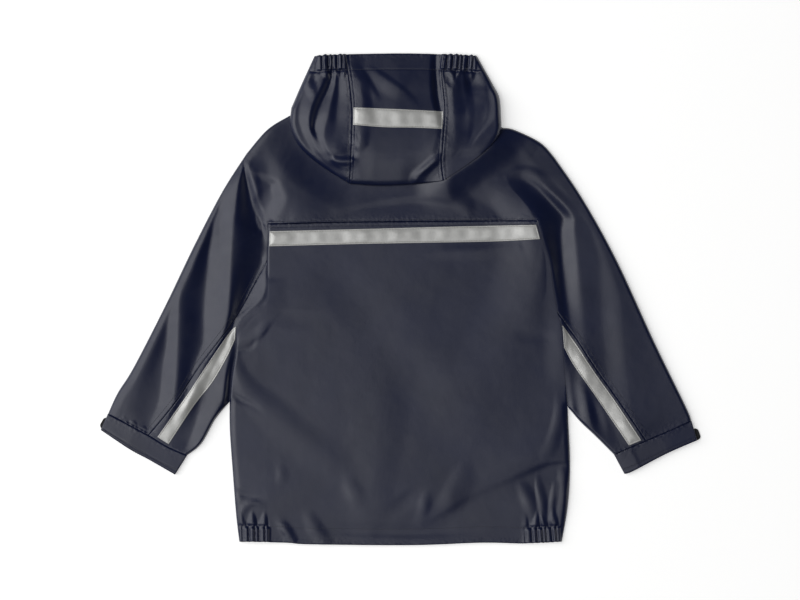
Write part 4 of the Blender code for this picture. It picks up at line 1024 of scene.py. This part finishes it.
# Hooks stand about 1 mm apart.
hook_relief_and_painted_sparkle = pattern(tree, "TexVoronoi", "Distance", {"Scale": 1000.0})
# The tone is painted highlight on each hook's top and painted shade in the gaps between hooks, following the
# relief's own pattern.
set_tone(tree, shader, hook_relief_and_painted_sparkle, "#202024", "#08080a")
emboss(tree, shader, (hook_relief_and_painted_sparkle, -0.0005))

# Each tab starts at the cuff's outer end and runs under it, towards a second point.
TAB_LENGTH = 55.0
TAB_WIDTH = 15.0
TAB_WALL = 1.4
TAB_CORNER = 4.5
TAB_BEVEL = 0.3
for name, node_name, start, end in (
        ("hook_tab_left", "cuff_tab_left", (-373.0, -153.0), (-274.0, -207.0)),
        ("hook_tab_right", "cuff_tab_right", (374.0, -167.0), (274.0, -206.0))):
    turn = math.atan2(end[1] - start[1], end[0] - start[0])
    bm = bmesh.new()
    bmesh.ops.create_grid(bm, x_segments=1, y_segments=1, size=0.5)
    bmesh.ops.scale(bm, verts=bm.verts, vec=(MM * TAB_LENGTH, MM * TAB_WIDTH, 1.0))
    bmesh.ops.bevel(
        bm, geom=bm.verts[:], offset=MM * TAB_CORNER, offset_type="OFFSET", affect="VERTICES", segments=5,
        profile=0.5, material=-1)
    pulled_up = bmesh.ops.extrude_face_region(bm, geom=bm.faces[:])
    top_verts = [v for v in pulled_up["geom"] if isinstance(v, bmesh.types.BMVert)]
    bmesh.ops.translate(bm, verts=top_verts, vec=(0.0, 0.0, MM * TAB_WALL))
    bmesh.ops.recalc_face_normals(bm, faces=bm.faces)
    rim = [e for e in bm.edges if all(v.co.z > 0.5 * MM * TAB_WALL for v in e.verts)]
    bmesh.ops.bevel(
        bm, geom=rim, offset=MM * TAB_BEVEL, offset_type="OFFSET", affect="EDGES", segments=2,
        profile=0.5, material=-1)
    bmesh.ops.translate(bm, verts=bm.verts, vec=(0.5 * MM * TAB_LENGTH, 0.0, 0.0))
    bmesh.ops.rotate(bm, verts=bm.verts, cent=(0.0, 0.0, 0.0), matrix=Matrix.Rotation(turn, 3, "Z"))
    bmesh.ops.translate(bm, verts=bm.verts, vec=(MM * start[0], MM * start[1], 0.0))
    mesh = bpy.data.meshes.new(name)
    bm.to_mesh(mesh)
    bm.free()
    mesh.materials.append(hook_tape)
    tab = add_object(name, mesh)
    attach(tab, "root")
    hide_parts(node_name)

# Topstitching
# Lockstitches in polyester thread, about three to the centimetre: beside each seam, round the casings
# and the cuffs, along the strips, and on the fronts.
THREAD = 0.26
STITCH_PITCH = 3.2
# Where the four points of a stitch lie, in shares of its pitch, and how far each stands out of the cloth.
STITCH_SHARES = (0.12, 0.3, 0.7, 0.88)
STITCH_RISES = (-0.2, 0.12, 0.12, -0.2)
SLEEVE_ROWS = (1.5, 6.0)

# Spun polyester thread, dyed to match, a little duller and lighter than the cloth.
threads = []
for name, dark, pale in (
        ("navy_polyester_thread", "#0d0f1c", "#262a3c"), ("grey_polyester_thread", "#7d7b76", "#a3a19b")):
    thread, tree, shader = start_material(name, {"Roughness": 0.55, "Sheen Weight": 0.15})
    # The ply twists every half millimetre.
    ply = pattern(tree, "TexNoise", "Fac", {"Scale": 2000.0, "Detail": 1.0, "Roughness": 0.5})
    set_tone(tree, shader, ply, dark, pale)
    threads.append(thread)
navy_thread, grey_thread = threads


def row_beside(line, low, high, distance):
    """Row of stitches beside a line, between two shares of its length."""
    return beside(stretch(line, low, high), distance)


def sew(name, rows, surface, thread, side=1.0):
    """Rows of stitches on a surface, each a short thread that dives into the cloth at both ends."""
    curve = bpy.data.curves.new(name, "CURVE")
    curve.dimensions = "3D"
    curve.bevel_depth = MM * THREAD
    curve.bevel_resolution = 1
    curve.use_fill_caps = True
    for line in rows:
        count = int(line_length(line) / STITCH_PITCH)
        shares = (np.arange(count)[:, None] + np.array(STITCH_SHARES)) / count
        spots = places(line[:, :2], shares.ravel())
        high = surface(spots[:, 0], spots[:, 1]) + side * np.tile(STITCH_RISES, count)
        spots = np.column_stack([MM * spots, MM * high, np.ones(len(spots))])
        for stitch in spots.reshape(count, 4, 4):
            spline = curve.splines.new("POLY")
            spline.points.add(3)
            for point, spot in zip(spline.points, stitch):
                point.co = spot
    loose = bpy.data.objects.new(name, curve)
    mesh = bpy.data.meshes.new_from_object(loose)
    bpy.data.objects.remove(loose)
    mesh.name = name
    mesh.materials.clear()
    mesh.materials.append(thread)
    mesh.shade_smooth()
    sewn = add_object(name, mesh)
    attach(sewn, "root")


sew("yoke_stitches", [row_beside(yoke_seam, 0.01, 0.99, YOKE_ROW)], upper_back_height, navy_thread)
sew("lower_back_stitches", [row_beside(yoke_seam, 0.01, 0.99, -BACK_ROW)], lower_back_height, navy_thread)
sew("hem_stitches", [row_beside(hem, 0.01, 0.99, CASING)], lower_back_height, navy_thread)
near, far = SLEEVE_ROWS
sew("sleeve_stitches_left", [
    row_beside(left_sleeve_seam, 0.02, 0.98, near), row_beside(left_sleeve_seam, 0.02, 0.95, far)],
    upper_back_height, navy_thread)
sew("sleeve_stitches_right", [
    row_beside(right_sleeve_seam, 0.02, 0.98, -near), row_beside(right_sleeve_seam, 0.02, 0.95, -far)],
    upper_back_height, navy_thread)
sew("hood_stitches", [
    beside(hood_left_seam, HOOD_ROW), beside(hood_right_seam, -HOOD_ROW),
    row_beside(hood_top, 0.03, 0.97, -CASING)], hood_height, navy_thread)
for name, seam, height in (
        ("cuff_stitches_left", LEFT_CUFF_SEAM, left_cuff_high),
        ("cuff_stitches_right", RIGHT_CUFF_SEAM, right_cuff_high)):
    sew(name, [row_beside(seam, 0.03, 0.97, -CUFF_ROW)], height, navy_thread)
for name, height, upper, lower in (
        ("strip_stitches_back", back_strip_high, back_strip_upper, back_strip_lower),
        ("strip_stitches_left", left_strip_high, left_strip_upper, left_strip_lower),
        ("strip_stitches_right", right_strip_high, right_strip_upper, right_strip_lower),
        ("strip_stitches_hood", hood_strip_high, hood_strip_upper, hood_strip_lower)):
    sew(name, [beside(upper, -STRIP_ROW), beside(lower, STRIP_ROW)], height, grey_thread)
sew("front_stitches", [
    row_beside(left_armhole_front, 0.03, 0.97, FRONT_ROW),
    row_beside(right_armhole_front, 0.03, 0.97, -FRONT_ROW),
    row_beside(placket_left, 0.01, 0.99, -FRONT_ROW), row_beside(placket_right, 0.01, 0.99, FRONT_ROW),
    row_beside(neck, 0.03, 0.97, -FRONT_ROW)], floor_height, navy_thread, side=-1.0)
